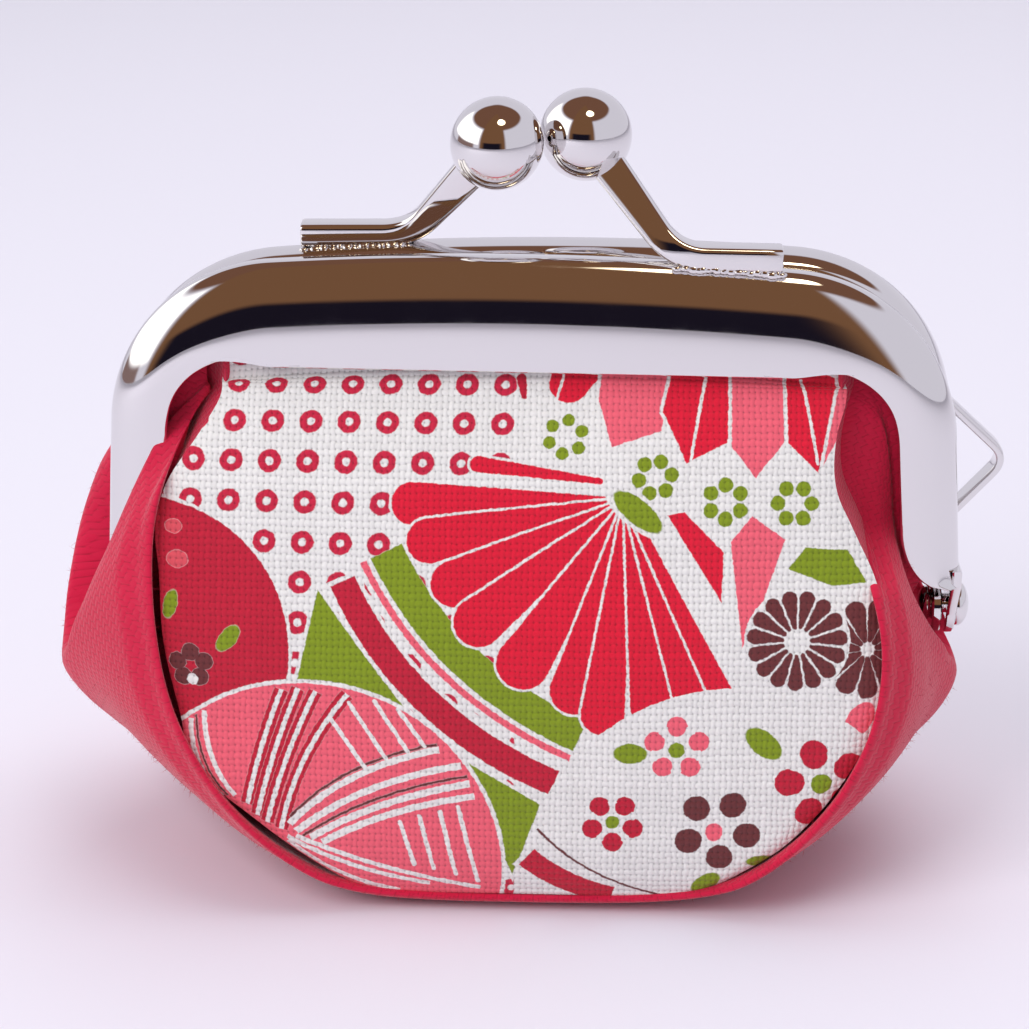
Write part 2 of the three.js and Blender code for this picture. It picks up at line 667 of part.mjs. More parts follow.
// The whole gusset: up the left side, round the base and up the right side, from the front seam to the back.
function gussetGeometry() {
  const noBulge = 0;
  const foldedBulge = 0.45;
  const sides = [-1, 1].map((side) => {
    const bulges = [noBulge, noBulge, noBulge, foldedBulge, ...gussetLines.map((line) => line.bulge), noBulge];
    const lines = [...armLines(side), ...gussetLines.map((line) => gussetLine(line, side)), baseLine(side)];
    const reach = side * (side < 0 ? pouch.leftBackBulge : pouch.rightBackBulge);
    const halves = lines.map((half, i) => [...half, ...backOf(half, reach * bulges[i])]);
    return side < 0 ? halves : halves.reverse();
  });
  const middle = baseLine(0);
  const grid = [...sides[0], [...middle, ...backOf(middle, 0)], ...sides[1]];
  const lastColumn = 2 * gussetColumns.length - 2;
  const thickness = (column) => (column === 0 || column === lastColumn ? pouch.cloth * 0.6 : pouch.cloth);
  return geometryOf(solidOf(sheetOf(grid, thickness, 1)));
}

// A straight line across the flat base, with its ends turned up under the panels' lower edges.
function baseLine(side) {
  const edge = panelEdgeAt(panelEdge[0].level, side || 1);
  const x = side * pouch.baseHalfWidth;
  return gussetColumns.map((share, i) => {
    if (i === 0) return new THREE.Vector3(x, -edge.depth - pouch.rim * 0.5, edge.z / 2);
    return new THREE.Vector3(x, -pouch.baseHalfDepth * (1 - share) * 1.136, 0);
  });
}

const chrome = new THREE.MeshStandardMaterial({ color: 0xd8d8dc, metalness: 1, roughness: 0.06 });
const print = new THREE.MeshStandardMaterial({ color: 0xe2c4c6, metalness: 0, roughness: 0.9 });
const crimson = new THREE.MeshStandardMaterial({ color: 0xc4203f, metalness: 0, roughness: 0.95 });

function part(name, geometry, material) {
  const mesh = new THREE.Mesh(geometry, material);
  mesh.name = name;
  return mesh;
}

const purse = new THREE.Group();
purse.add(part("front_frame", geometryOf(frameHalf(-1)), chrome));
purse.add(part("back_frame", geometryOf(frameHalf(1)), chrome));
purse.add(part("hinge_rivet_left", rivetGeometry(-1), chrome));
purse.add(part("hinge_rivet_right", rivetGeometry(1), chrome));
purse.add(part("front_panel", panelGeometry(-1), print));
purse.add(part("back_panel", panelGeometry(1), print));
purse.add(part("gusset", gussetGeometry(), crimson));

export default purse;
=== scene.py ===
"""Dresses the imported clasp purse: polished frame, printed panels, crimson gusset, floor, light, camera."""

from __future__ import annotations

import json
import logging
import math
from dataclasses import dataclass
from enum import Enum

import bmesh
import bpy
import numpy as np
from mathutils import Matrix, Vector

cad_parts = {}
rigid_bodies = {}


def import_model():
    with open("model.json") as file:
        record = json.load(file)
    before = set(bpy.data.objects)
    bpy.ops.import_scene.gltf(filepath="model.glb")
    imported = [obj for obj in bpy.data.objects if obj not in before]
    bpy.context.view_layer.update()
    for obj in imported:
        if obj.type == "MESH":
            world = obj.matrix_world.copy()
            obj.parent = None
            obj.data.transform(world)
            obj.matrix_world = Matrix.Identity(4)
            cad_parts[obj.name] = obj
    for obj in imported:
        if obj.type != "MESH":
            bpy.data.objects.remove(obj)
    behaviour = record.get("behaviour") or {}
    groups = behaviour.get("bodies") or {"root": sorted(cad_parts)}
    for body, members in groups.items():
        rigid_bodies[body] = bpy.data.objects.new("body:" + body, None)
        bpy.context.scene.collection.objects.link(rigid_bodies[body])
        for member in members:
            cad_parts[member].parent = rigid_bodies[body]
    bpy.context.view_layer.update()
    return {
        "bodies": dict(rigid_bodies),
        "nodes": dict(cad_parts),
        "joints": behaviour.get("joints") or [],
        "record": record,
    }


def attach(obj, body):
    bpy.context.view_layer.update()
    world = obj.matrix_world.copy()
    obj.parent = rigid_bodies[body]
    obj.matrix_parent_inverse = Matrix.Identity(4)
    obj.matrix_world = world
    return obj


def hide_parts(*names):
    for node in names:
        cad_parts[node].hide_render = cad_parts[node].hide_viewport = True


MM = 0.001
LOG = logging.getLogger("purse")
Point = tuple[float, float]


def linear(red: int, green: int, blue: int) -> tuple[float, float, float, float]:
    """Turns a colour named in screen values 0 to 255 into a linear RGBA value.

    Args:
        red: Screen red.
        green: Screen green.
        blue: Screen blue.

    Returns:
        The linear colour with full alpha.
    """
    shares = [value / 255 for value in (red, green, blue)]
    return tuple(s / 12.92 if s <= 0.04045 else ((s + 0.055) / 1.055) ** 2.4 for s in shares) + (1.0,)


def smooth_table(at: np.ndarray, keys: list[float], values: list[float]) -> np.ndarray:
    """Reads a table as a smooth curve through its rows.

    Args:
        at: Where to read it.
        keys: The rows' places, rising.
        values: The rows' values.

    Returns:
        The curve's value at each place.
    """
    x, y = np.asarray(keys, float), np.asarray(values, float)
    slope = np.gradient(y, x)
    at = np.clip(at, x[0], x[-1])
    i = np.clip(np.searchsorted(x, at, side="right") - 1, 0, len(x) - 2)
    step = x[i + 1] - x[i]
    t = (at - x[i]) / step
    rise = y[i] * (2 * t**3 - 3 * t**2 + 1) + y[i + 1] * (3 * t**2 - 2 * t**3)
    return rise + step * (slope[i] * (t**3 - 2 * t**2 + t) + slope[i + 1] * (t**3 - t**2))


def ease(start: float, end: float, share: float) -> float:
    """Goes from start to end along a smooth step."""
    s = min(max(share, 0.0), 1.0)
    return start + (end - start) * s * s * (3 - 2 * s)


class MeshDraft:
    """Collects points in millimetres and faces, and turns them into one piece of the scene."""

    def __init__(self) -> None:
        """Starts an empty draft."""
        self.points: list[np.ndarray] = []
        self.faces: list[tuple[int, ...]] = []
        self.count = 0

    def add(self, points: np.ndarray, faces: list[tuple[int, ...]]) -> None:
        """Adds points and the faces that use them.

        Args:
            points: An array of n points.
            faces: Faces, numbered from 0 within these points.
        """
        self.points.append(np.asarray(points, float).reshape(-1, 3))
        self.faces += [tuple(i + self.count for i in face) for face in faces]
        self.count += len(self.points[-1])

    def sweep(self, sections: np.ndarray, capped: bool = True) -> None:
        """Adds a skin over a row of closed sections.

        Args:
            sections: An array of rows by points by 3.
            capped: Whether the first and last sections are closed with a face.
        """
        rows, ring, _ = sections.shape
        faces = []
        for row in range(rows - 1):
            for i in range(ring):
                j = (i + 1) % ring
                faces.append((row * ring + i, row * ring + j, (row + 1) * ring + j, (row + 1) * ring + i))
        if capped:
            faces.append(tuple(range(ring))[::-1])
            faces.append(tuple((rows - 1) * ring + i for i in range(ring)))
        self.add(sections, faces)

    def grid(self, outer: np.ndarray, inner: np.ndarray) -> None:
        """Adds a closed sheet.

        Args:
            outer: One side's points, rows by columns by 3.
            inner: The other side's.
        """
        rows, columns, _ = outer.shape
        faces = []
        for row in range(rows - 1):
            for column in range(columns - 1):
                a = row * columns + column
                faces.append((a, a + 1, a + columns + 1, a + columns))
        under = rows * columns
        faces += [tuple(i + under for i in face[::-1]) for face in faces]
        rim = list(range(columns - 1))
        rim += [row * columns + columns - 1 for row in range(rows - 1)]
        rim += [(rows - 1) * columns + i for i in range(columns - 1, 0, -1)]
        rim += [row * columns for row in range(rows - 1, 0, -1)]
        for a, b in zip(rim, rim[1:] + rim[:1]):
            faces.append((b, a, a + under, b + under))
        self.add(np.vstack([outer.reshape(-1, 3), inner.reshape(-1, 3)]), faces)

    def ball(
        self, centre: tuple[float, float, float], radius: float, segments: int = 72, rings: int = 40
    ) -> None:
        """Adds a closed ball.

        Args:
            centre: Its centre.
            radius: Its radius.
            segments: Faces round it.
            rings: Faces from pole to pole.
        """
        turn = np.linspace(0, 2 * np.pi, segments, endpoint=False)
        tilt = np.linspace(0, np.pi, rings + 1)[1:-1]
        x = np.outer(np.sin(tilt), np.cos(turn))
        y = np.outer(np.sin(tilt), np.sin(turn))
        z = np.outer(np.cos(tilt), np.ones(segments))
        body = np.stack([x, y, z], -1).reshape(-1, 3)
        points = np.vstack([body, [[0, 0, 1]], [[0, 0, -1]]]) * radius + np.array(centre)
        faces = []
        for row in range(rings - 2):
            for i in range(segments):
                j = (i + 1) % segments
                this, after = row * segments, (row + 1) * segments
                faces.append((this + i, after + i, after + j, this + j))
        top, bottom, low = len(body), len(body) + 1, (rings - 2) * segments
        for i in range(segments):
            j = (i + 1) % segments
            faces.append((top, i, j))
            faces.append((bottom, low + j, low + i))
        self.add(points, faces)

    def piece(self, name: str, sharp: float = 35.0) -> bpy.types.Object:
        """Makes the draft one smooth-shaded object at the origin.

        Args:
            name: The piece's name.
            sharp: Angle in degrees past which an edge stays sharp.

        Returns:
            The new object.
        """
        mesh = bpy.data.meshes.new(name)
        mesh.from_pydata((np.vstack(self.points) * MM).tolist(), [], self.faces)
        work = bmesh.new()
        work.from_mesh(mesh)
        bmesh.ops.recalc_face_normals(work, faces=work.faces)
        work.to_mesh(mesh)
        work.free()
        mesh.shade_smooth()
        mesh.set_sharp_from_angle(angle=math.radians(sharp))
        piece = bpy.data.objects.new(name, mesh)
        bpy.context.scene.collection.objects.link(piece)
        return piece


class Wire:
    """One value in a node tree, with the usual arithmetic between values."""

    def __init__(self, tree: bpy.types.NodeTree, socket: bpy.types.NodeSocket) -> None:
        """Holds a socket of a tree."""
        self.tree = tree
        self.socket = socket

    def math(self, operation: str, *others: "Wire | float", clamp: bool = False) -> "Wire":
        """Puts a Math node on this value.

        Args:
            operation: The node's operation.
            others: Its further inputs.
            clamp: Whether the result is kept between 0 and 1.

        Returns:
            The result.
        """
        node = self.tree.nodes.new("ShaderNodeMath")
        node.operation = operation
        node.use_clamp = clamp
        for i, value in enumerate((self, *others)):
            plug(self.tree, value, node.inputs[i])
        return Wire(self.tree, node.outputs[0])

    def vector(self, operation: str, *others: "Wire | tuple[float, ...]") -> "Wire":
        """Puts a Vector Math node on this value; dot products and lengths come out as numbers."""
        node = self.tree.nodes.new("ShaderNodeVectorMath")
        node.operation = operation
        for i, value in enumerate((self, *others)):
            plug(self.tree, value, node.inputs[3 if operation == "SCALE" and i == 1 else i])
        out = "Value" if operation in ("DOT_PRODUCT", "LENGTH", "DISTANCE") else "Vector"
        return Wire(self.tree, node.outputs[out])

    def __add__(self, other: "Wire | float") -> "Wire":
        """Sum."""
        return self.math("ADD", other)

    def __sub__(self, other: "Wire | float") -> "Wire":
        """Difference."""
        return self.math("SUBTRACT", other)

    def __mul__(self, other: "Wire | float") -> "Wire":
        """Product."""
        return self.math("MULTIPLY", other)

    def __truediv__(self, other: "Wire | float") -> "Wire":
        """Quotient."""
        return self.math("DIVIDE", other)

    def step(self, low: float, high: float) -> "Wire":
        """Rises smoothly from 0 at low to 1 at high, or falls where low is the larger."""
        node = self.tree.nodes.new("ShaderNodeMapRange")
        node.interpolation_type = "SMOOTHSTEP"
        falls = low > high
        plug(self.tree, self, node.inputs["Value"])
        node.inputs["From Min"].default_value = min(low, high)
        node.inputs["From Max"].default_value = max(low, high)
        node.inputs["To Min"].default_value = 1.0 if falls else 0.0
        node.inputs["To Max"].default_value = 0.0 if falls else 1.0
        return Wire(self.tree, node.outputs["Result"])

    def parts(self) -> tuple["Wire", "Wire", "Wire"]:
        """Takes a vector apart."""
        node = self.tree.nodes.new("ShaderNodeSeparateXYZ")
        plug(self.tree, self, node.inputs[0])
        return tuple(Wire(self.tree, out) for out in node.outputs)


def plug(tree: bpy.types.NodeTree, value: object, socket: bpy.types.NodeSocket) -> None:
    """Links a value to a socket, or sets the socket where the value is a plain number or colour."""
    if isinstance(value, Wire):
        tree.links.new(value.socket, socket)
    else:
        socket.default_value = value


def join(tree: bpy.types.NodeTree, x: Wire | float, y: Wire | float, z: Wire | float) -> Wire:
    """Makes a vector of three values."""
    node = tree.nodes.new("ShaderNodeCombineXYZ")
    for value, socket in zip((x, y, z), node.inputs):
        plug(tree, value, socket)
    return Wire(tree, node.outputs[0])


def mix(tree: bpy.types.NodeTree, under: object, over: object, share: Wire | float) -> Wire:
    """Lays one colour over another by a share."""
    node = tree.nodes.new("ShaderNodeMix")
    node.data_type = "RGBA"
    plug(tree, share, node.inputs["Factor"])
    plug(tree, under, node.inputs[6])
    plug(tree, over, node.inputs[7])
    return Wire(tree, node.outputs[2])


class Group:
    """A shader node group with named inputs and outputs, and the wires to fill it with."""

    def __init__(self, name: str, inputs: dict[str, str], outputs: dict[str, str]) -> None:
        """Makes an empty group.

        Args:
            name: Its name.
            inputs: Name to kind (Float, Vector or Color) of each input.
            outputs: Name to kind of each output.
        """
        self.tree = bpy.data.node_groups.new(name, "ShaderNodeTree")
        for names, way in ((inputs, "INPUT"), (outputs, "OUTPUT")):
            for label, kind in names.items():
                self.tree.interface.new_socket(label, in_out=way, socket_type=f"NodeSocket{kind}")
        entry = self.tree.nodes.new("NodeGroupInput")
        self.ends = self.tree.nodes.new("NodeGroupOutput")
        self.inputs = {label: Wire(self.tree, entry.outputs[label]) for label in inputs}

    def put_out(self, **values: Wire) -> None:
        """Links the outputs, named with underscores for spaces."""
        for label, value in values.items():
            plug(self.tree, value, self.ends.inputs[label.replace("_", " ")])

    def place(self, tree: bpy.types.NodeTree, **values: object) -> dict[str, Wire]:
        """Places the group in a tree.

        Args:
            tree: The tree to place it in.
            values: Its inputs, named with underscores for spaces.

        Returns:
            Its outputs by name.
        """
        node = tree.nodes.new("ShaderNodeGroup")
        node.node_tree = self.tree
        for label, value in values.items():
            plug(tree, value, node.inputs[label.replace("_", " ")])
        return {out.name: Wire(tree, out) for out in node.outputs}


class Ink(Enum):
    """The print's colours, in screen values."""

    WHITE = (238, 235, 232)
    RED = (226, 18, 52)
    CRIMSON = (196, 26, 54)
    PINK = (244, 100, 118)
    ROSE = (226, 84, 96)
    GREEN = (132, 152, 26)
    BROWN = (108, 48, 50)

    def colour(self) -> tuple[float, float, float, float]:
        """The linear colour."""
        return linear(*self.value)


@dataclass(frozen=True)
class Stroke:
    """A tapered stroke with round ends: a petal or a line."""

    ink: Ink
    start: Point
    end: Point
    start_radius: float
    end_radius: float
    rim: float


@dataclass(frozen=True)
class Oval:
    """A leaf, dot or ball: half sizes, and its turn in degrees."""

    ink: Ink
    centre: Point
    half_width: float
    half_height: float
    turn: float
    rim: float


@dataclass(frozen=True)
class Arc:
    """A band along a circle: its middle direction and half spread in degrees."""

    ink: Ink
    centre: Point
    radius: float
    half_width: float
    middle: float
    spread: float
    rim: float


@dataclass(frozen=True)
class Blossom:
    """A ring of equal petals, each tapered from its near to its far end."""

    ink: Ink
    centre: Point
    petals: int
    turn: float
    near: float
    far: float
    near_radius: float
    far_radius: float
    rim: float


@dataclass(frozen=True)
class Patch:
    """A straight-sided patch with three to five corners, in order round it."""

    ink: Ink
    corners: tuple[Point, ...]
    rim: float


Motif = Stroke | Oval | Arc | Blossom | Patch

# Places on the cloth in millimetres: across from the panel's middle, and up the cloth from its lower edge.
MOTIFS: tuple[Motif, ...] = (
    Blossom(Ink.GREEN, (8.9, 31.3), 6, 10, 1.17, 1.17, 0.52, 0.52, 0.0),
    Blossom(Ink.GREEN, (13.9, 29.6), 6, 30, 1.2, 1.2, 0.53, 0.53, 0.0),
    Blossom(Ink.GREEN, (18.8, 29.5), 6, 0, 1.2, 1.2, 0.53, 0.53, 0.0),
    Blossom(Ink.GREEN, (2.5, 34.1), 6, 20, 1.21, 1.21, 0.46, 0.46, 0.0),
    Patch(Ink.GREEN, ((-15.0, 23.0), (-8.2, 14.0), (-16.6, 15.8)), 0.25),
    Patch(Ink.GREEN, ((-4.7, 11.0), (1.0, 7.6), (-1.0, 1.9)), 0.25),
    Oval(Ink.CRIMSON, (-27.9, 18.5), 10.87, 10.87, 0, 0.25),
    Blossom(Ink.BROWN, (-24.1, 17.3), 5, 20, 1.01, 1.01, 0.65, 0.65, 0.0),
    Oval(Ink.WHITE, (-24.0, 16.3), 0.4, 0.4, 0, 0),
    Oval(Ink.GREEN, (-25.6, 21.7), 1.08, 0.5, 75, 0),
    Oval(Ink.GREEN, (-21.4, 19.4), 1.15, 0.61, 50, 0),
    Oval(Ink.ROSE, (-25.1, 25.0), 0.79, 0.64, 0, 0),
    Oval(Ink.ROSE, (-25.4, 27.3), 0.64, 0.5, 0, 0),
    Arc(Ink.GREEN, (14.3, 37.9), 27.29, 1.36, -133.3, 20.6, 0.0),
    Arc(Ink.PINK, (14.3, 37.9), 29, 0.24, -133.3, 20.6, 0.35),
    Arc(Ink.CRIMSON, (13.0, 36.1), 29, 0.97, -133.5, 21.2, 0.3),
    Stroke(Ink.RED, (5.0, 31.0), (-3.7, 32.1), 0.21, 0.57, 0.18),
    Stroke(Ink.RED, (7.0, 29.5), (-8.3, 29.3), 0.36, 1.49, 0.18),
    Stroke(Ink.RED, (7.0, 29.5), (-7.1, 26.7), 0.36, 1.57, 0.18),
    Stroke(Ink.RED, (7.0, 29.5), (-5.3, 23.7), 0.36, 1.64, 0.18),
    Stroke(Ink.RED, (7.0, 29.5), (-3.5, 21.0), 0.36, 1.78, 0.18),
    Stroke(Ink.RED, (7.0, 29.5), (-0.3, 18.1), 0.36, 1.92, 0.18),
    Stroke(Ink.RED, (7.0, 29.5), (3.4, 16.2), 0.36, 1.78, 0.18),
    Stroke(Ink.RED, (7.0, 29.5), (5.4, 14.5), 0.36, 1.57, 0.18),
    Stroke(Ink.RED, (7.0, 29.5), (8.9, 15.2), 0.28, 1.56, 0.18),
    Stroke(Ink.RED, (7.0, 29.5), (11.8, 15.9), 0.28, 1.42, 0.18),
    Stroke(Ink.RED, (7.0, 29.5), (13.8, 16.0), 0.21, 0.85, 0.18),
    Patch(Ink.RED, ((9.8, 28.7), (11.0, 28.9), (13.8, 26.1), (13.7, 22.6)), 0.25),
    Oval(Ink.GREEN, (7.7, 28.9), 2.12, 0.85, -38, 0.3),
    Patch(Ink.PINK, ((15.8, 28.6), (18.4, 26.8), (16.7, 22.8), (15.3, 18.8), (14.3, 26.8)), 0.25),
    Stroke(Ink.RED, (4.2, 40.8), (2.7, 38.0), 2, 1.43, 0.25),
    Stroke(Ink.WHITE, (2.5, 39.3), (1.8, 36.7), 0.09, 0.09, 0),
    Patch(Ink.PINK, ((5.3, 40.8), (10.6, 40.8), (9.3, 34.6), (5.8, 33.4), (4.8, 36.9)), 0.25),
    Patch(Ink.RED, ((10.4, 40.8), (14.3, 40.9), (14.0, 33.8), (11.1, 32.3), (9.4, 36.0)), 0.25),
    Stroke(Ink.WHITE, (12.8, 40.9), (11.4, 32.5), 0.1, 0.1, 0),
    Patch(Ink.PINK, ((14.3, 40.9), (17.9, 40.9), (18.0, 33.8), (16.0, 31.3), (14.3, 33.5)), 0.25),
    Patch(Ink.RED, ((18.1, 40.9), (21.6, 39.5), (22.1, 36.3), (20.6, 31.5), (18.3, 33.8)), 0.25),
    Stroke(Ink.WHITE, (19.2, 39.1), (20.4, 32.3), 0.1, 0.1, 0),
    Patch(Ink.PINK, ((22.0, 38.4), (23.5, 37.0), (20.8, 32.2)), 0.25),
    Patch(Ink.GREEN, ((18.4, 24.9), (19.6, 26.4), (22.6, 26.2), (24.0, 23.9), (21.5, 23.7)), 0.25),
    Blossom(Ink.BROWN, (24.1, 19.2), 11, 10, 0.7, 2.82, 0.21, 0.74, 0.2),
    Oval(Ink.WHITE, (19.1, 19.8), 3.74, 3.74, 0, 0),
    Blossom(Ink.BROWN, (19.1, 19.8), 15, 5, 1.06, 3.03, 0.16, 0.56, 0),
    Oval(Ink.PINK, (23.7, 14.1), 1.42, 0.92, 60, 0.2),
    Oval(Ink.WHITE, (14.6, 1.7), 14.66, 14.66, 0, 0),
    Blossom(Ink.PINK, (10.7, 12.0), 5, 90, 1.57, 1.64, 0.64, 0.75, 0.0),
    Oval(Ink.GREEN, (10.7, 11.9), 0.57, 0.57, 0, 0),
    Blossom(Ink.CRIMSON, (6.2, 6.3), 5, 55, 1.44, 1.51, 0.65, 0.75, 0.0),
    Oval(Ink.GREEN, (6.2, 6.3), 0.5, 0.5, 0, 0),
    Blossom(Ink.BROWN, (13.7, 5.8), 5, 60, 2.15, 2.22, 0.93, 0.97, 0.0),
    Oval(Ink.PINK, (13.5, 5.6), 0.61, 0.72, 0, 0),
    Blossom(Ink.CRIMSON, (21.1, 9.3), 5, 105, 2.13, 2.35, 0.93, 1, 0.0),
    Oval(Ink.GREEN, (21.1, 9.3), 0.75, 0.75, 0, 0),
    Oval(Ink.GREEN, (7.4, 11.6), 1.21, 0.75, 0, 0),
    Oval(Ink.GREEN, (16.9, 12.3), 1.56, 0.85, -40, 0),
    Oval(Ink.GREEN, (13.0, 1.3), 1.23, 0.72, 40, 0),
    Oval(Ink.GREEN, (16.9, 3.2), 1.01, 0.5, 0, 0),
    Oval(Ink.PINK, (-15.8, 2.3), 14.04, 14.04, 0, 0.3),
    Arc(Ink.CRIMSON, (34.3, -4.3), 55.63, 0.5, 163.5, 4.7, 0),
    Arc(Ink.CRIMSON, (40.3, -7.4), 61.29, 0.5, 162.4, 4.8, 0),
    Arc(Ink.CRIMSON, (31.2, -6.6), 51.44, 0.5, 160.2, 6.0, 0),
    Arc(Ink.CRIMSON, (5.0, 0.9), 23.13, 0.5, 154.8, 14.4, 0),
    Arc(Ink.WHITE, (34.3, -4.3), 55.63, 0.16, 163.5, 4.7, 0),
    Arc(Ink.WHITE, (40.3, -7.4), 61.29, 0.16, 162.4, 4.8, 0),
    Arc(Ink.WHITE, (31.2, -6.6), 51.44, 0.16, 160.2, 6.0, 0),
    Arc(Ink.WHITE, (5.0, 0.9), 23.13, 0.16, 154.8, 14.4, 0),
    Arc(Ink.WHITE, (-2.9, -7.2), 19.16, 0.24, 119.0, 18.9, 0),
    Arc(Ink.WHITE, (-1.0, -13.6), 24.36, 0.25, 114.3, 15.6, 0),
    Arc(Ink.WHITE, (1.5, -22.2), 31.81, 0.25, 111.3, 11.2, 0),
    Arc(Ink.WHITE, (1.0, -22.9), 31.42, 0.25, 109.4, 10.7, 0),
    Arc(Ink.BROWN, (-3.8, -5.4), 17.62, 0.1, 118.7, 20.2, 0),
    Arc(Ink.BROWN, (0.2, -17.9), 27.93, 0.1, 112.5, 13.4, 0),
    Arc(Ink.WHITE, (-0.4, 35.2), 34.93, 0.17, -109.9, 9.0, 0),
    Arc(Ink.WHITE, (-5.1, 18.1), 18.41, 0.18, -117.2, 14.2, 0),
    Arc(Ink.WHITE, (10.4, 68.1), 68.91, 0.17, -107.3, 5.8, 0),
    Stroke(Ink.WHITE, (-14.1, 13.9), (-11.5, 10.1), 0.14, 0.14, 0),
    Stroke(Ink.WHITE, (-12.7, 15.0), (-9.9, 10.7), 0.14, 0.14, 0),
    Stroke(Ink.WHITE, (-10.9, 15.2), (-8.5, 11.5), 0.14, 0.14, 0),
    Stroke(Ink.WHITE, (-9.2, 14.6), (-7.3, 11.9), 0.14, 0.14, 0),
    Stroke(Ink.WHITE, (-9.1, 6.0), (-8.1, 2.6), 0.15, 0.15, 0),
    Stroke(Ink.WHITE, (-7.7, 6.5), (-6.7, 2.3), 0.15, 0.15, 0),
    Stroke(Ink.WHITE, (-6.2, 6.9), (-5.1, 1.8), 0.15, 0.15, 0),
    Stroke(Ink.WHITE, (-4.9, 7.3), (-3.5, 1.2), 0.15, 0.15, 0),
    Arc(Ink.WHITE, (-13.6, 13.7), 9.59, 0.17, 198.6, 20.3, 0),
    Arc(Ink.WHITE, (-16.1, 13.0), 8.08, 0.17, 200.5, 22.8, 0),
    Arc(Ink.BROWN, (-15.0, 13.4), 8.77, 0.09, 199.9, 21.6, 0),
    Arc(Ink.CRIMSON, (10.5, 15.0), 15.59, 0.87, -119.1, 13.1, 0.3),
    Arc(Ink.BROWN, (15.1, 18.7), 19.32, 0.09, -121.0, 16.7, 0),
    Stroke(Ink.CRIMSON, (-0.7, 38.3), (-0.5, 37.0), 0.36, 0.22, 0),
)


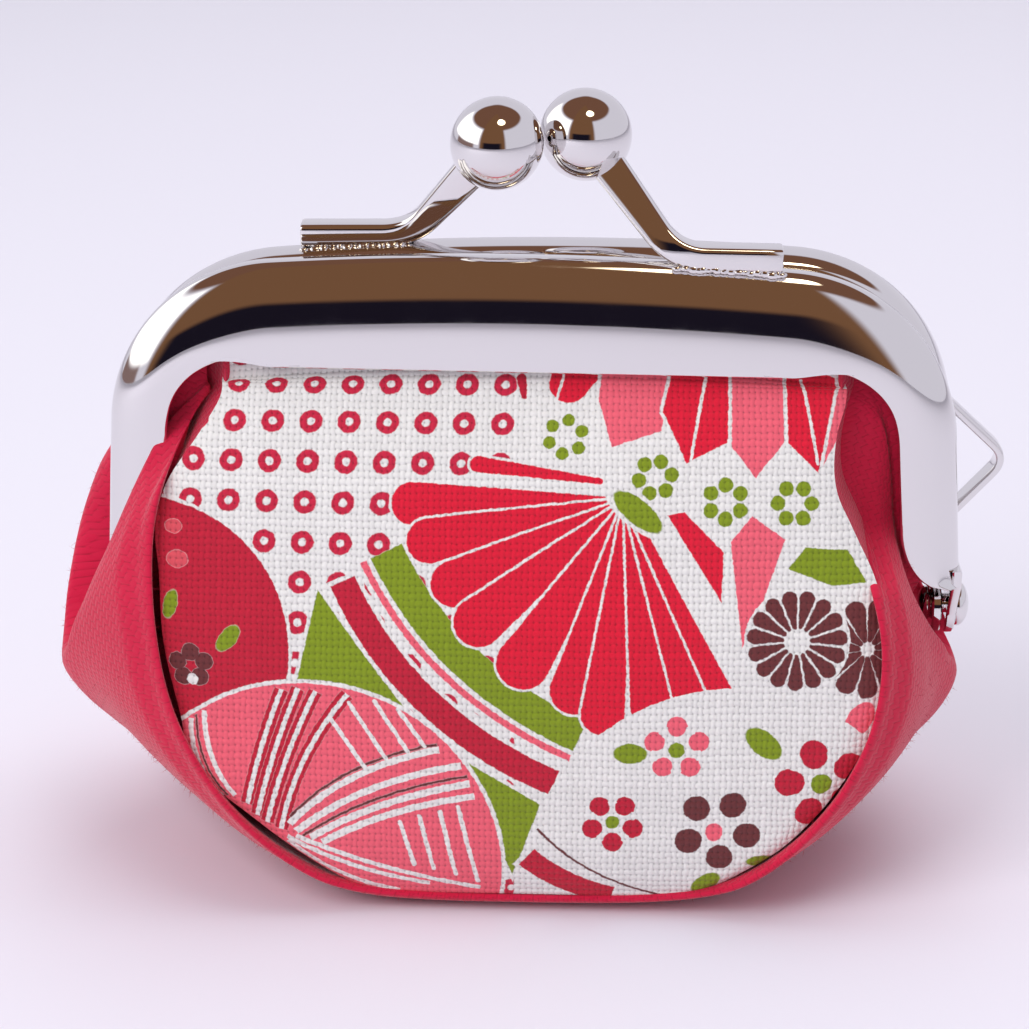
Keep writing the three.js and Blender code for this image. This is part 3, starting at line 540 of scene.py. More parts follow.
class MotifShapes:
    """The shader groups that paint one motif each over what lies under it."""

    EDGE = 0.05
    PATCH_EDGES = 5
    EDGE_PARTS = ("across", "along", "offset")

    def __init__(self) -> None:
        """Builds the five groups."""
        self.stroke = self._stroke()
        self.oval = self._oval()
        self.arc = self._arc()
        self.blossom = self._blossom()
        self.patch = self._patch()

    def _start(self, name: str, *extra: str) -> Group:
        """Makes a group with what every motif takes, and its own numbers."""
        inputs = {"Under": "Color", "Across": "Float", "Along": "Float", "Ink": "Color", "Rim": "Float"}
        return Group(name, inputs | {label: "Float" for label in extra}, {"Colour": "Color"})

    def _finish(self, group: Group, distance: Wire) -> Group:
        """Paints the white rim and the ink by the distance outside the motif's edge."""
        rim = (distance - group.inputs["Rim"]).step(self.EDGE, -self.EDGE)
        on_rim = mix(group.tree, group.inputs["Under"], Ink.WHITE.colour(), rim)
        inked = mix(group.tree, on_rim, group.inputs["Ink"], distance.step(self.EDGE, -self.EDGE))
        group.put_out(Colour=inked)
        return group

    def _turned(self, group: Group) -> tuple[Wire, Wire]:
        """The place seen from the motif's centre and along its turn."""
        x = group.inputs["Across"] - group.inputs["Centre across"]
        y = group.inputs["Along"] - group.inputs["Centre along"]
        cos, sin = group.inputs["Turn"].math("COSINE"), group.inputs["Turn"].math("SINE")
        return x * cos + y * sin, y * cos - x * sin

    def _capsule(self, x: Wire, y: Wire, length_x: Wire, length_y: Wire) -> tuple[Wire, Wire]:
        """How far along a line from the origin a place lies, as a share, and how far off the line."""
        squared = length_x * length_x + length_y * length_y
        share = ((x * length_x + y * length_y) / squared).math("ADD", 0.0, clamp=True)
        return share, self._length(x - length_x * share, y - length_y * share)

    def _length(self, x: Wire, y: Wire) -> Wire:
        """The length of a pair."""
        return (x * x + y * y).math("SQRT")

    def _stroke(self) -> Group:
        """A tapered stroke."""
        ends = ("Start across", "Start along", "End across", "End along")
        group = self._start("print_stroke", *ends, "Start radius", "End radius")
        x, y = (group.inputs[way] - group.inputs[f"Start {way.lower()}"] for way in ("Across", "Along"))
        ways = ("across", "along")
        to_x, to_y = (group.inputs[f"End {way}"] - group.inputs[f"Start {way}"] for way in ways)
        share, off = self._capsule(x, y, to_x, to_y)
        radius = group.inputs["Start radius"]
        return self._finish(group, off - radius - (group.inputs["End radius"] - radius) * share)

    def _oval(self) -> Group:
        """An oval."""
        group = self._start("print_oval", "Centre across", "Centre along", "Turn", "Half width", "Half height")
        x, y = self._turned(group)
        wide, high = group.inputs["Half width"], group.inputs["Half height"]
        return self._finish(group, (self._length(x / wide, y / high) - 1.0) * wide.math("MINIMUM", high))

    def _arc(self) -> Group:
        """A band along a circle."""
        group = self._start(
            "print_arc", "Centre across", "Centre along", "Turn", "Radius", "Half width", "Spread"
        )
        x, y = self._turned(group)
        off = (self._length(x, y) - group.inputs["Radius"]).math("ABSOLUTE")
        past_end = (y.math("ARCTAN2", x).math("ABSOLUTE") - group.inputs["Spread"]) * group.inputs["Radius"]
        return self._finish(group, (off - group.inputs["Half width"]).math("MAXIMUM", past_end))

    def _blossom(self) -> Group:
        """A ring of petals."""
        reach = ("Near", "Far", "Near radius", "Far radius")
        group = self._start("print_blossom", "Centre across", "Centre along", "Turn", "Sector", *reach)
        x, y = self._turned(group)
        sector = group.inputs["Sector"]
        angle = y.math("ARCTAN2", x)
        angle = angle - (angle / sector).math("ROUND") * sector
        out = self._length(x, y)
        along, across = out * angle.math("COSINE") - group.inputs["Near"], out * angle.math("SINE")
        length = group.inputs["Far"] - group.inputs["Near"] + 1e-4
        share = (along / length).math("ADD", 0.0, clamp=True)
        off = self._length(along - share * length, across)
        radius = group.inputs["Near radius"]
        return self._finish(group, off - radius - (group.inputs["Far radius"] - radius) * share)

    def _patch(self) -> Group:
        """A straight-sided patch, from its edges' outward directions and distances."""
        labels = [f"Edge {i} {part}" for i in range(self.PATCH_EDGES) for part in self.EDGE_PARTS]
        group = self._start("print_patch", *labels)
        inputs = group.inputs
        distance = None
        for i in range(self.PATCH_EDGES):
            past = inputs["Across"] * inputs[f"Edge {i} across"] + inputs["Along"] * inputs[f"Edge {i} along"]
            past = past + inputs[f"Edge {i} offset"]
            distance = past if distance is None else distance.math("MAXIMUM", past)
        return self._finish(group, distance)

    def paint(self, tree: bpy.types.NodeTree, under: Wire, across: Wire, along: Wire, motif: Motif) -> Wire:
        """Paints one motif over a colour.

        Args:
            tree: The material's tree.
            under: The colour so far.
            across: The place across the cloth in millimetres.
            along: The place up the cloth in millimetres.
            motif: What to paint.

        Returns:
            The colour with the motif on it.
        """
        match motif:
            case Stroke():
                values = {
                    "Start_across": motif.start[0],
                    "Start_along": motif.start[1],
                    "End_across": motif.end[0],
                    "End_along": motif.end[1],
                    "Start_radius": motif.start_radius,
                    "End_radius": motif.end_radius,
                }
                group = self.stroke
            case Oval():
                values = {
                    "Turn": math.radians(motif.turn),
                    "Half_width": motif.half_width,
                    "Half_height": motif.half_height,
                }
                group = self.oval
            case Arc():
                values = {
                    "Turn": math.radians(motif.middle),
                    "Radius": motif.radius,
                    "Half_width": motif.half_width,
                    "Spread": math.radians(motif.spread),
                }
                group = self.arc
            case Blossom():
                values = {
                    "Turn": math.radians(motif.turn),
                    "Sector": 2 * math.pi / motif.petals,
                    "Near": motif.near,
                    "Far": motif.far,
                    "Near_radius": motif.near_radius,
                    "Far_radius": motif.far_radius,
                }
                group = self.blossom
            case Patch():
                values = {}
                for i, edge in enumerate(self._edges(motif.corners)):
                    values |= {f"Edge_{i}_{part}": number for part, number in zip(self.EDGE_PARTS, edge)}
                group = self.patch
        if isinstance(motif, (Oval, Arc, Blossom)):
            values |= {"Centre_across": motif.centre[0], "Centre_along": motif.centre[1]}
        common = {"Under": under, "Across": across, "Along": along, "Ink": motif.ink.colour(), "Rim": motif.rim}
        return group.place(tree, **common, **values)["Colour"]

    def _edges(self, corners: tuple[Point, ...]) -> list[tuple[float, float, float]]:
        """Outward direction and distance of each edge, the last one repeated to fill the group's inputs."""
        middle = np.mean(corners, axis=0)
        edges = []
        for (x0, y0), (x1, y1) in zip(corners, corners[1:] + corners[:1]):
            length = math.hypot(x1 - x0, y1 - y0)
            nx, ny = (y1 - y0) / length, (x0 - x1) / length
            if (middle[0] - x0) * nx + (middle[1] - y0) * ny > 0:
                nx, ny = -nx, -ny
            edges.append((nx, ny, -(x0 * nx + y0 * ny)))
        return edges + [edges[-1]] * (self.PATCH_EDGES - len(edges))


class Surfaces:
    """Shader groups that more than one finish uses."""

    def __init__(self) -> None:
        """Builds the groups."""
        self.weave = self._weave()
        self.wear = self._wear()

    def _weave(self) -> Group:
        """Crossing threads: a plain weave at a step of pi, a twill at a smaller one."""
        inputs = {"Place": "Vector", "Pitch across": "Float", "Pitch along": "Float", "Step": "Float"}
        group = Group("crossing_threads", inputs, {"Height": "Float", "Thread": "Float", "Tint": "Float"})
        tree = group.tree
        noise = tree.nodes.new("ShaderNodeTexNoise")
        noise.inputs["Scale"].default_value = 0.9
        noise.inputs["Detail"].default_value = 2.0
        plug(tree, group.inputs["Place"], noise.inputs["Vector"])
        wander = Wire(tree, noise.outputs["Fac"]) - 0.5
        x, y, _ = group.inputs["Place"].parts()
        u = x / group.inputs["Pitch across"] + wander * 0.7
        v = y / group.inputs["Pitch along"] + wander * 0.5
        i, j = u.math("FLOOR"), v.math("FLOOR")
        across, along = (u - i) * 2.0 - 1.0, (v - j) * 2.0 - 1.0
        warp_lift = ((v - 0.5 + i) * group.inputs["Step"]).math("COSINE")
        weft_lift = ((u - 0.5 + j) * group.inputs["Step"]).math("COSINE") * -1.0
        warp = warp_lift * 0.35 + (across * across * -1.0 + 1.0) * 0.65
        weft = weft_lift * 0.35 + (along * along * -1.0 + 1.0) * 0.65
        height = warp.math("MAXIMUM", weft)
        tint = tree.nodes.new("ShaderNodeTexWhiteNoise")
        tint.noise_dimensions = "2D"
        warp_thread = i * warp.math("GREATER_THAN", weft)
        weft_thread = j * weft.math("GREATER_THAN", warp)
        plug(tree, join(tree, warp_thread, weft_thread, 0.0), tint.inputs["Vector"])
        # Thread is a painted-shade share: 0 in the gaps between threads, 1 on the thread crowns; the cloth
        # materials darken their colour by it
        group.put_out(Height=height, Thread=height.step(-0.05, 0.62), Tint=Wire(tree, tint.outputs["Value"]))
        return group

    def _wear(self) -> Group:
        """Smudges and the long low waves of pressed sheet."""
        inputs = {"Place": "Vector", "Scale": "Float"}
        group = Group("handling_marks", inputs, {"Smudge": "Float", "Wave": "Float"})
        tree = group.tree
        values = []
        for size, detail in ((1.0, 4.0), (0.35, 1.0)):
            noise = tree.nodes.new("ShaderNodeTexNoise")
            noise.inputs["Detail"].default_value = detail
            plug(tree, group.inputs["Place"], noise.inputs["Vector"])
            plug(tree, group.inputs["Scale"] * size, noise.inputs["Scale"])
            values.append(Wire(tree, noise.outputs["Fac"]))
        group.put_out(Smudge=values[0].step(0.42, 0.75), Wave=values[1])
        return group


class Finish:
    """One material and the wires into its shader."""

    def __init__(self, name: str) -> None:
        """Makes an empty material with its shader."""
        self.material = bpy.data.materials.new(name)
        self.material.use_nodes = True
        self.tree = self.material.node_tree
        self.shader = self.tree.nodes["Principled BSDF"]

    def coordinates(self, kind: str) -> Wire:
        """The Object or UV coordinates."""
        node = self.tree.nodes.new("ShaderNodeTexCoord")
        return Wire(self.tree, node.outputs[kind])

    def bump(self, height: Wire, distance: float, strength: float) -> None:
        """Bends the surface's normal by a height."""
        node = self.tree.nodes.new("ShaderNodeBump")
        node.inputs["Distance"].default_value = distance
        node.inputs["Strength"].default_value = strength
        plug(self.tree, height, node.inputs["Height"])
        self.tree.links.new(node.outputs["Normal"], self.shader.inputs["Normal"])

    def set(self, **values: object) -> None:
        """Sets or links the shader's inputs, named with underscores for spaces."""
        for label, value in values.items():
            plug(self.tree, value, self.shader.inputs[label.replace("_", " ")])


@dataclass(frozen=True)
class NickelPlate:
    """Bright mirror-polished nickel plate."""

    colour: tuple[int, int, int] = (226, 223, 223)
    least_roughness: float = 0.035
    smudged_roughness: float = 0.075

    def make(self, name: str, surfaces: Surfaces) -> bpy.types.Material:
        """Builds the material.

        Args:
            name: Its name.
            surfaces: The shared groups.

        Returns:
            The material.
        """
        finish = Finish(name)
        place = finish.coordinates("Object")
        marks = surfaces.wear.place(finish.tree, Place=place, Scale=260.0)
        spread = self.smudged_roughness - self.least_roughness
        finish.set(
            Base_Color=linear(*self.colour),
            Metallic=1.0,
            Roughness=marks["Smudge"] * spread + self.least_roughness,
        )
        finish.bump(marks["Wave"], 0.00012, 0.12)
        return finish.material


@dataclass(frozen=True)
class PrintedCotton:
    """Plain-woven cotton with the printed motifs."""

    warp_pitch: float = 0.42
    weft_pitch: float = 0.5
    ring_pitch_across: float = 2.738
    ring_pitch_along: float = 2.861
    ring_shear: float = 0.152
    ring_start: Point = (-21.0, 37.83)
    ring_radius: float = 0.56
    ring_half_width: float = 0.27
    ring_limit: float = -0.9

    def _rings(self, x: Wire, y: Wire) -> Wire:
        """Where the lattice of tie-dye rings is inked.

        Args:
            x: The place across the cloth in millimetres.
            y: The place up the cloth in millimetres.

        Returns:
            The share of ink.
        """
        row = (y * -1.0 + self.ring_start[1]) / self.ring_pitch_along
        column = (x - self.ring_start[0] + row * self.ring_shear) / self.ring_pitch_across
        across = (column - column.math("ROUND")) * self.ring_pitch_across
        along = (row - row.math("ROUND")) * self.ring_pitch_along
        out = (across * across + along * along).math("SQRT")
        band = (out - self.ring_radius).math("ABSOLUTE") - self.ring_half_width
        return band.math("MAXIMUM", x - self.ring_limit).step(0.06, -0.06)

    def make(self, name: str, surfaces: Surfaces, motifs: MotifShapes) -> bpy.types.Material:
        """Builds the material.

        Args:
            name: Its name.
            surfaces: The shared groups.
            motifs: The motifs' groups.

        Returns:
            The material.
        """
        finish = Finish(name)
        tree = finish.tree
        place = finish.coordinates("UV").vector("SCALE", 100.0)
        noise = tree.nodes.new("ShaderNodeTexNoise")
        noise.inputs["Scale"].default_value = 2.6
        plug(tree, place, noise.inputs["Vector"])
        wobble = Wire(tree, noise.outputs["Color"]).vector("SUBTRACT", (0.5, 0.5, 0.5)).vector("SCALE", 0.2)
        across, along, _ = place.vector("ADD", wobble).parts()
        colour = mix(tree, Ink.WHITE.colour(), linear(205, 34, 66), self._rings(across, along))
        for motif in MOTIFS:
            colour = motifs.paint(tree, colour, across, along, motif)
        weave = surfaces.weave.place(
            tree, Place=place, Pitch_across=self.warp_pitch, Pitch_along=self.weft_pitch, Step=math.pi
        )
        shade = tree.nodes.new("ShaderNodeMix")
        shade.data_type = "RGBA"
        shade.blend_type = "MULTIPLY"
        shade.inputs["Factor"].default_value = 1.0
        plug(tree, colour, shade.inputs[6])
        # Painted shade: the print's colour is darkened in the gaps between threads, with a little random tint
        # per thread
        gap_shade_and_tint = weave["Thread"] * 0.42 + weave["Tint"] * 0.08 + 0.52
        plug(tree, join(tree, gap_shade_and_tint, gap_shade_and_tint, gap_shade_and_tint), shade.inputs[7])
        finish.set(
            Base_Color=Wire(tree, shade.outputs[2]),
            Roughness=weave["Thread"] * -0.08 + 0.92,
            Sheen_Weight=0.12,
            Sheen_Roughness=0.5,
        )
        finish.bump(weave["Height"], 0.00016, 0.75)
        return finish.material


@dataclass(frozen=True)
class DyedTwill:
    """Coarse dyed cotton with a diagonal rib, dull and a little fuzzy."""

    colour: tuple[int, int, int] = (212, 22, 66)
    # Darker colour: painted shade in the gaps between threads, and random mottling
    gap_shade_and_mottle: tuple[int, int, int] = (168, 12, 46)
    pitch: float = 0.4

    def make(self, name: str, surfaces: Surfaces) -> bpy.types.Material:
        """Builds the material.

        Args:
            name: Its name.
            surfaces: The shared groups.

        Returns:
            The material.
        """
        finish = Finish(name)
        tree = finish.tree
        place = finish.coordinates("UV").vector("SCALE", 100.0)
        weave = surfaces.weave.place(
            tree, Place=place, Pitch_across=self.pitch, Pitch_along=self.pitch, Step=2 * math.pi / 3
        )
        marks = surfaces.wear.place(tree, Place=place, Scale=0.5)
        # Painted shade: the gaps between threads take the darker colour; the long low wave mixes it in at
        # random as mottling
        share = weave["Thread"] * 0.75 + marks["Wave"] * 0.25
        finish.set(
            Base_Color=mix(tree, linear(*self.gap_shade_and_mottle), linear(*self.colour), share),
            Roughness=weave["Tint"] * 0.08 + 0.86,
            Sheen_Weight=0.25,
            Sheen_Roughness=0.45,
        )
        finish.bump(weave["Height"], 0.0001, 0.45)
        return finish.material


def rounded(before: np.ndarray, corner: np.ndarray, after: np.ndarray, steps: int = 14) -> list[np.ndarray]:
    """Goes round a corner along a smooth curve.

    Args:
        before: Where the curve starts.
        corner: The corner that it cuts.
        after: Where it ends.
        steps: How many points it has.

    Returns:
        Its points.
    """
    shares = np.linspace(0, 1, steps)
    return [(1 - t) ** 2 * before + 2 * t * (1 - t) * corner + t * t * after for t in shares]


def closed_sheet(name: str, outer: np.ndarray, inner: np.ndarray) -> bpy.types.Object:
    """Makes a closed sheet of an outer and an inner grid.

    Args:
        name: The piece's name.
        outer: Rows by columns by 3, in millimetres.
        inner: The same for the other side.

    Returns:
        The piece; its points are the outer grid's and then the inner one's.
    """
    draft = MeshDraft()
    draft.grid(outer, inner)
    return draft.piece(name, sharp=60)


def map_points(mesh: bpy.types.Mesh, uv: np.ndarray) -> None:
    """Gives a mesh a UV map from one pair a point."""
    for layer in list(mesh.uv_layers):
        mesh.uv_layers.remove(layer)
    layer = mesh.uv_layers.new(name="cloth")
    corners = np.empty(len(mesh.loops), dtype=np.int32)
    mesh.loops.foreach_get("vertex_index", corners)
    layer.data.foreach_set("uv", uv[corners].astype(np.float32).ravel())


@dataclass
class PurseFrame:
    """The metal frame's two halves, in millimetres; "in" is from its outline towards the pouch."""

    height: float = 46.3
    crown_radius: float = 250.0
    crown_run: float = 18.8
    corner_radius: float = 12.9
    arm_lean: float = math.radians(4)
    arm_end: float = 22.1
    face_taper: float = 4.6
    half_depth: float = 4.9
    crest_depth: float = 2.5
    sheet: float = 0.8
    parting_gap: float = 0.3
    rail_face: float = 8.0
    arm_face: float = 4.4
    rail_roll: float = 7.2
    arm_roll: float = 3.2
    rail_valley: float = 1.2
    arm_valley: float = 0.7
    skew: float = 0.0107
    edge_round: float = 0.22
    plate_edge: float = 0.12
    hinge_height: float = 19.0
    ear_radius: float = 2.2
    ear_sheet: float = 0.7
    ear_clearance: float = 0.3
    ear_spread: float = 4.4
    ear_overlap: float = 1.2
    ball_radius: float = 3.3
    ball_height: float = 7.9
    ball_depth: float = 1.5
    bar_depth: float = 2.6
    bar_width: float = 2.2
    bar_height: float = 1.8
    bar_seat: float = 0.25
    stem_width: float = 2.6
    stem_thickness: float = 1.6
    elbow_reach: float = 2.2
    front_bar: tuple[float, float, float] = (17.7, 10.1, 3.65)
    back_bar: tuple[float, float, float] = (-17.0, -8.9, -2.55)
    loop_top: float = 34.2
    loop_bottom: float = 25.2
    loop_reach: float = 4.1
    loop_wire: float = 0.65
    loop_width: float = 2.0
    loop_depth: float = 2.2
    loop_corner: float = 1.5

    def __post_init__(self) -> None:
        """Works out the outline's turns and lengths."""
        self.crown_turn = math.asin(self.crown_run / self.crown_radius)
        self.crown_length = self.crown_radius * self.crown_turn
        self.corner_length = self.corner_radius * (math.pi / 2 - self.arm_lean - self.crown_turn)
        span = self.crown_radius - self.corner_radius
        self.corner_x = span * math.sin(self.crown_turn)
        self.corner_z = self.height - self.crown_radius + span * math.cos(self.crown_turn)
        self.arm_x = self.corner_x + self.corner_radius * math.cos(self.arm_lean)
        self.arm_z = self.corner_z + self.corner_radius * math.sin(self.arm_lean)
        arm_length = (self.arm_z - self.arm_end) / math.cos(self.arm_lean)
        self.side_length = self.crown_length + self.corner_length + arm_length
        self.rail_edge = self.height - self.rail_face

    def outline(self, run: float) -> tuple[float, float, float, float]:
        """The outline at a run from the middle of the top.

        Args:
            run: Length along the outline.

        Returns:
            x, z and the inward direction's x and z.
        """
        if run <= self.crown_length:
            a = run / self.crown_radius
            x, z = self.crown_radius * math.sin(a), self.height - self.crown_radius * (1 - math.cos(a))
            return x, z, -math.sin(a), -math.cos(a)
        if run <= self.crown_length + self.corner_length:
            a = self.crown_turn + (run - self.crown_length) / self.corner_radius
            x = self.corner_x + self.corner_radius * math.sin(a)
            z = self.corner_z + self.corner_radius * math.cos(a)
            return x, z, -math.sin(a), -math.cos(a)
        drop = run - self.crown_length - self.corner_length
        x, z = self.arm_x + drop * math.sin(self.arm_lean), self.arm_z - drop * math.cos(self.arm_lean)
        return x, z, -math.cos(self.arm_lean), -math.sin(self.arm_lean)

    def _profile(self, run: float) -> np.ndarray:
        """The folded section at a run, as rows of (in, depth)."""
        past = (run - self.crown_length) / (self.corner_length * 0.85)
        left = min(max((self.side_length - run) / self.face_taper, 0.0), 1.0)
        narrow = math.sqrt(1 - (1 - left) ** 2)
        least = self.sheet * 1.5
        end_roll = 1 - least * 0.8 / self.arm_roll
        _, z, _, in_z = self.outline(min(run, self.crown_length + self.corner_length / 3))
        face = least + (ease((z - self.rail_edge) / -in_z, self.arm_face, past) - least) * narrow
        roll = ease(self.rail_roll, self.arm_roll, past) * (1 - (1 - narrow) * end_roll)
        valley = ease(self.rail_valley, self.arm_valley, past)
        gap, crest, out = self.parting_gap / 2, self.crest_depth, self.half_depth
        rows = []
        for a in np.linspace(0, np.pi / 2, 13):
            rows.append((valley * (1 - math.sin(a)), crest - (crest - gap) * math.cos(a)))
        for a in np.linspace(0, np.pi / 2, 29)[1:]:
            rows.append((roll * (1 - math.cos(a)), crest + (out - crest) * math.sin(a)))
        r = self.edge_round
        for a in np.linspace(0, np.pi / 2, 5):
            rows.append((face - r + r * math.sin(a), out - r + r * math.cos(a)))
        for a in np.linspace(0, np.pi / 2, 5):
            rows.append((face - r + r * math.cos(a), out - self.sheet + r - r * math.sin(a)))
        for a in np.linspace(np.pi / 2, 0.3, 5)[1:]:
            inward = min(roll * (1 - math.cos(a)) + self.sheet * 0.6, face - self.sheet / 4)
            rows.append((inward, crest + (out - self.sheet - crest) * math.sin(a)))
        rows.append((valley + self.sheet * 0.9, gap + self.sheet))
        rows.append((valley + self.sheet * 1.4, gap + self.sheet / 2))
        rows.append((valley + self.sheet * 0.9, gap))
        return np.array(rows)

    def _channel(self, draft: MeshDraft, facing: int) -> None:
        """Adds the folded channel of one half."""
        corner_end = self.crown_length + self.corner_length
        taper = self.side_length - self.face_taper
        runs = np.concatenate([
            np.linspace(0, self.crown_length, 22)[:-1],
            np.linspace(self.crown_length, corner_end, 44)[:-1],
            np.linspace(corner_end, taper, 12)[:-1],
            np.linspace(taper, self.side_length, 14),
        ])
        half = []
        for run in runs:
            x, z, in_x, in_z = self.outline(run)
            rows = self._profile(run)
            half.append(np.stack([x + in_x * rows[:, 0], facing * rows[:, 1], z + in_z * rows[:, 0]], -1))
        half = np.array(half)
        mirrored = half[:0:-1] * np.array([-1, 1, 1])
        draft.sweep(np.concatenate([mirrored, half]))

    def _bar_section(self, centre: np.ndarray, normal: np.ndarray, rise: float, width: float) -> np.ndarray:
        """A rounded rectangle across the clasp bar's path."""
        rows = []
        for a in np.linspace(0, 2 * np.pi, 32, endpoint=False):
            c, s = math.cos(a), math.sin(a)
            up = math.copysign(abs(c) ** 0.42, c) * rise / 2
            deep = math.copysign(abs(s) ** 0.42, s) * width / 2
            rows.append(centre + np.array([normal[0] * up, deep, normal[1] * up]))
        return np.array(rows)

    def _clasp(self, draft: MeshDraft, facing: int) -> None:
        """Adds the soldered bar, the stem that rises from it and the ball."""
        start_x, end_x, ball_x = self.back_bar if facing > 0 else self.front_bar
        run = abs(start_x + end_x) / 2
        bar_z = self.outline(run)[1] - self.bar_seat + self.bar_height / 2
        start = np.array([start_x, facing * self.bar_depth, bar_z])
        bend = np.array([end_x, facing * self.bar_depth, bar_z])
        ball = np.array([ball_x, -facing * self.ball_depth, self.height + self.ball_height])
        to_ball = (ball - bend) / np.linalg.norm(ball - bend)
        along = (bend - start) / np.linalg.norm(bend - start)
        before, after = bend - along * self.elbow_reach, bend + to_ball * self.elbow_reach
        path = [start + along * s for s in (0.0, 0.06, 0.2)]
        path += [start + (before - start) * s for s in (0.3, 0.65)]
        path += rounded(before, bend, after)
        path += [after + (ball - after) * t for t in np.linspace(0, 1, 14)[1:]]
        path = np.array(path)
        length = np.concatenate([[0], np.cumsum(np.linalg.norm(np.diff(path, axis=0), axis=1))])
        share = np.clip((length - length[5]) / (length[-1] - length[5]), 0, 1)
        share = share * share * (3 - 2 * share)
        tangent = np.gradient(path[:, [0, 2]], length, axis=0)
        tangent /= np.linalg.norm(tangent, axis=1)[:, None]
        sections = []
        for i, (point, way) in enumerate(zip(path, tangent)):
            normal = np.array([-way[1], way[0]]) * math.copysign(1, way[0])
            end = (0.82, 0.95)[i] if i < 2 else 1.0
            rise = (self.bar_height + (self.stem_width - self.bar_height) * share[i]) * end
            width = (self.bar_width + (self.stem_thickness - self.bar_width) * share[i]) * end
            sections.append(self._bar_section(point, normal, rise, width))
        draft.sweep(np.array(sections))
        draft.ball(tuple(ball), self.ball_radius)

    def _plate(
        self, draft: MeshDraft, outline: list[Point], outer_x: float, side: int, thickness: float
    ) -> None:
        """Adds a flat plate with a (y, z) outline and softened edges."""
        rows = np.array(outline)
        middle = rows.mean(axis=0)
        reach = np.linalg.norm(rows - middle, axis=1)[:, None]
        inset = middle + (rows - middle) * (1 - self.plate_edge / reach)
        sections = []
        soft = self.plate_edge
        for x, edge in ((0.0, inset), (soft, rows), (thickness - soft, rows), (thickness, inset)):
            at = side * (outer_x - x)
            sections.append(np.column_stack([np.full(len(edge), at), edge]))
        draft.sweep(np.array(sections))

    def _ear(self, draft: MeshDraft, side: int, facing: int) -> None:
        """Adds one hinge lug; the back half's is joggled inward to lie inside the front's."""
        outer = self.outline(self.side_length)[0]
        pitch = self.ear_sheet + self.ear_clearance
        top = self.arm_end + self.ear_overlap
        spread = facing * self.ear_spread
        lug = [(facing * self.sheet, top), (spread, top), (spread, self.arm_end)]
        for a in np.linspace(0, np.pi * 1.2, 26):
            y, z = self.ear_radius * math.cos(a), self.hinge_height - self.ear_radius * math.sin(a)
            lug.append((facing * y, z))
        lug.append((facing * self.sheet, self.hinge_height + self.ear_radius))
        self._plate(draft, lug, outer - (pitch if facing > 0 else 0), side, self.ear_sheet)
        if facing > 0:
            bottom = self.hinge_height + self.ear_radius + self.ear_clearance
            step = [
                (self.ear_radius, bottom),
                (self.ear_spread, self.arm_end),
                (self.ear_spread, top),
                (self.ear_radius, top),
            ]
            self._plate(draft, step, outer, side, pitch + self.ear_sheet)

    def _loop(self, draft: MeshDraft) -> None:
        """Adds the flat strip bent to a three-cornered loop on the right arm."""
        def foot(height: float) -> np.ndarray:
            """Where the arm's wall is at a height, as x and z."""
            drop = (self.arm_z - height) / math.cos(self.arm_lean)
            x = self.outline(self.crown_length + self.corner_length + drop)[0] - self.sheet / 2
            return np.array([x, height])

        start, end = foot(self.loop_top), foot(self.loop_bottom)
        middle = (self.loop_top + self.loop_bottom) / 2
        corner = foot(middle) + np.array([self.sheet / 2 + self.loop_reach, 0])
        into = (corner - start) / np.linalg.norm(corner - start)
        out = (end - corner) / np.linalg.norm(end - corner)
        before, after = corner - into * self.loop_corner, corner + out * self.loop_corner
        path = [start + (before - start) * t for t in np.linspace(0, 1, 8)[:-1]]
        path += rounded(before, corner, after)
        path += [after + (end - after) * t for t in np.linspace(0, 1, 8)[1:]]
        path = np.array(path)
        way = np.gradient(path, axis=0)
        way /= np.linalg.norm(way, axis=1)[:, None]
        sections = []
        for (x, z), (wx, wz) in zip(path, way):
            centre = np.array([x, self.loop_depth, z])
            sections.append(self._bar_section(centre, np.array([wz, -wx]), self.loop_wire, self.loop_width))
        draft.sweep(np.array(sections))

    def half(self, name: str, facing: int) -> bpy.types.Object:
        """Builds one half.

        Args:
            name: The piece's name.
            facing: -1 for the front half, 1 for the back one.

        Returns:
            The piece.
        """
        draft = MeshDraft()
        self._channel(draft, facing)
        self._clasp(draft, facing)
        for side in (-1, 1):
            self._ear(draft, side, facing)
        if facing > 0:
            self._loop(draft)
        for block in draft.points:
            above = np.clip((block[:, 2] - self.arm_end) / 10, 0, 1)
            block[:, 2] += facing * block[:, 0] * self.skew * above * above * (3 - 2 * above)
        return draft.piece(name)


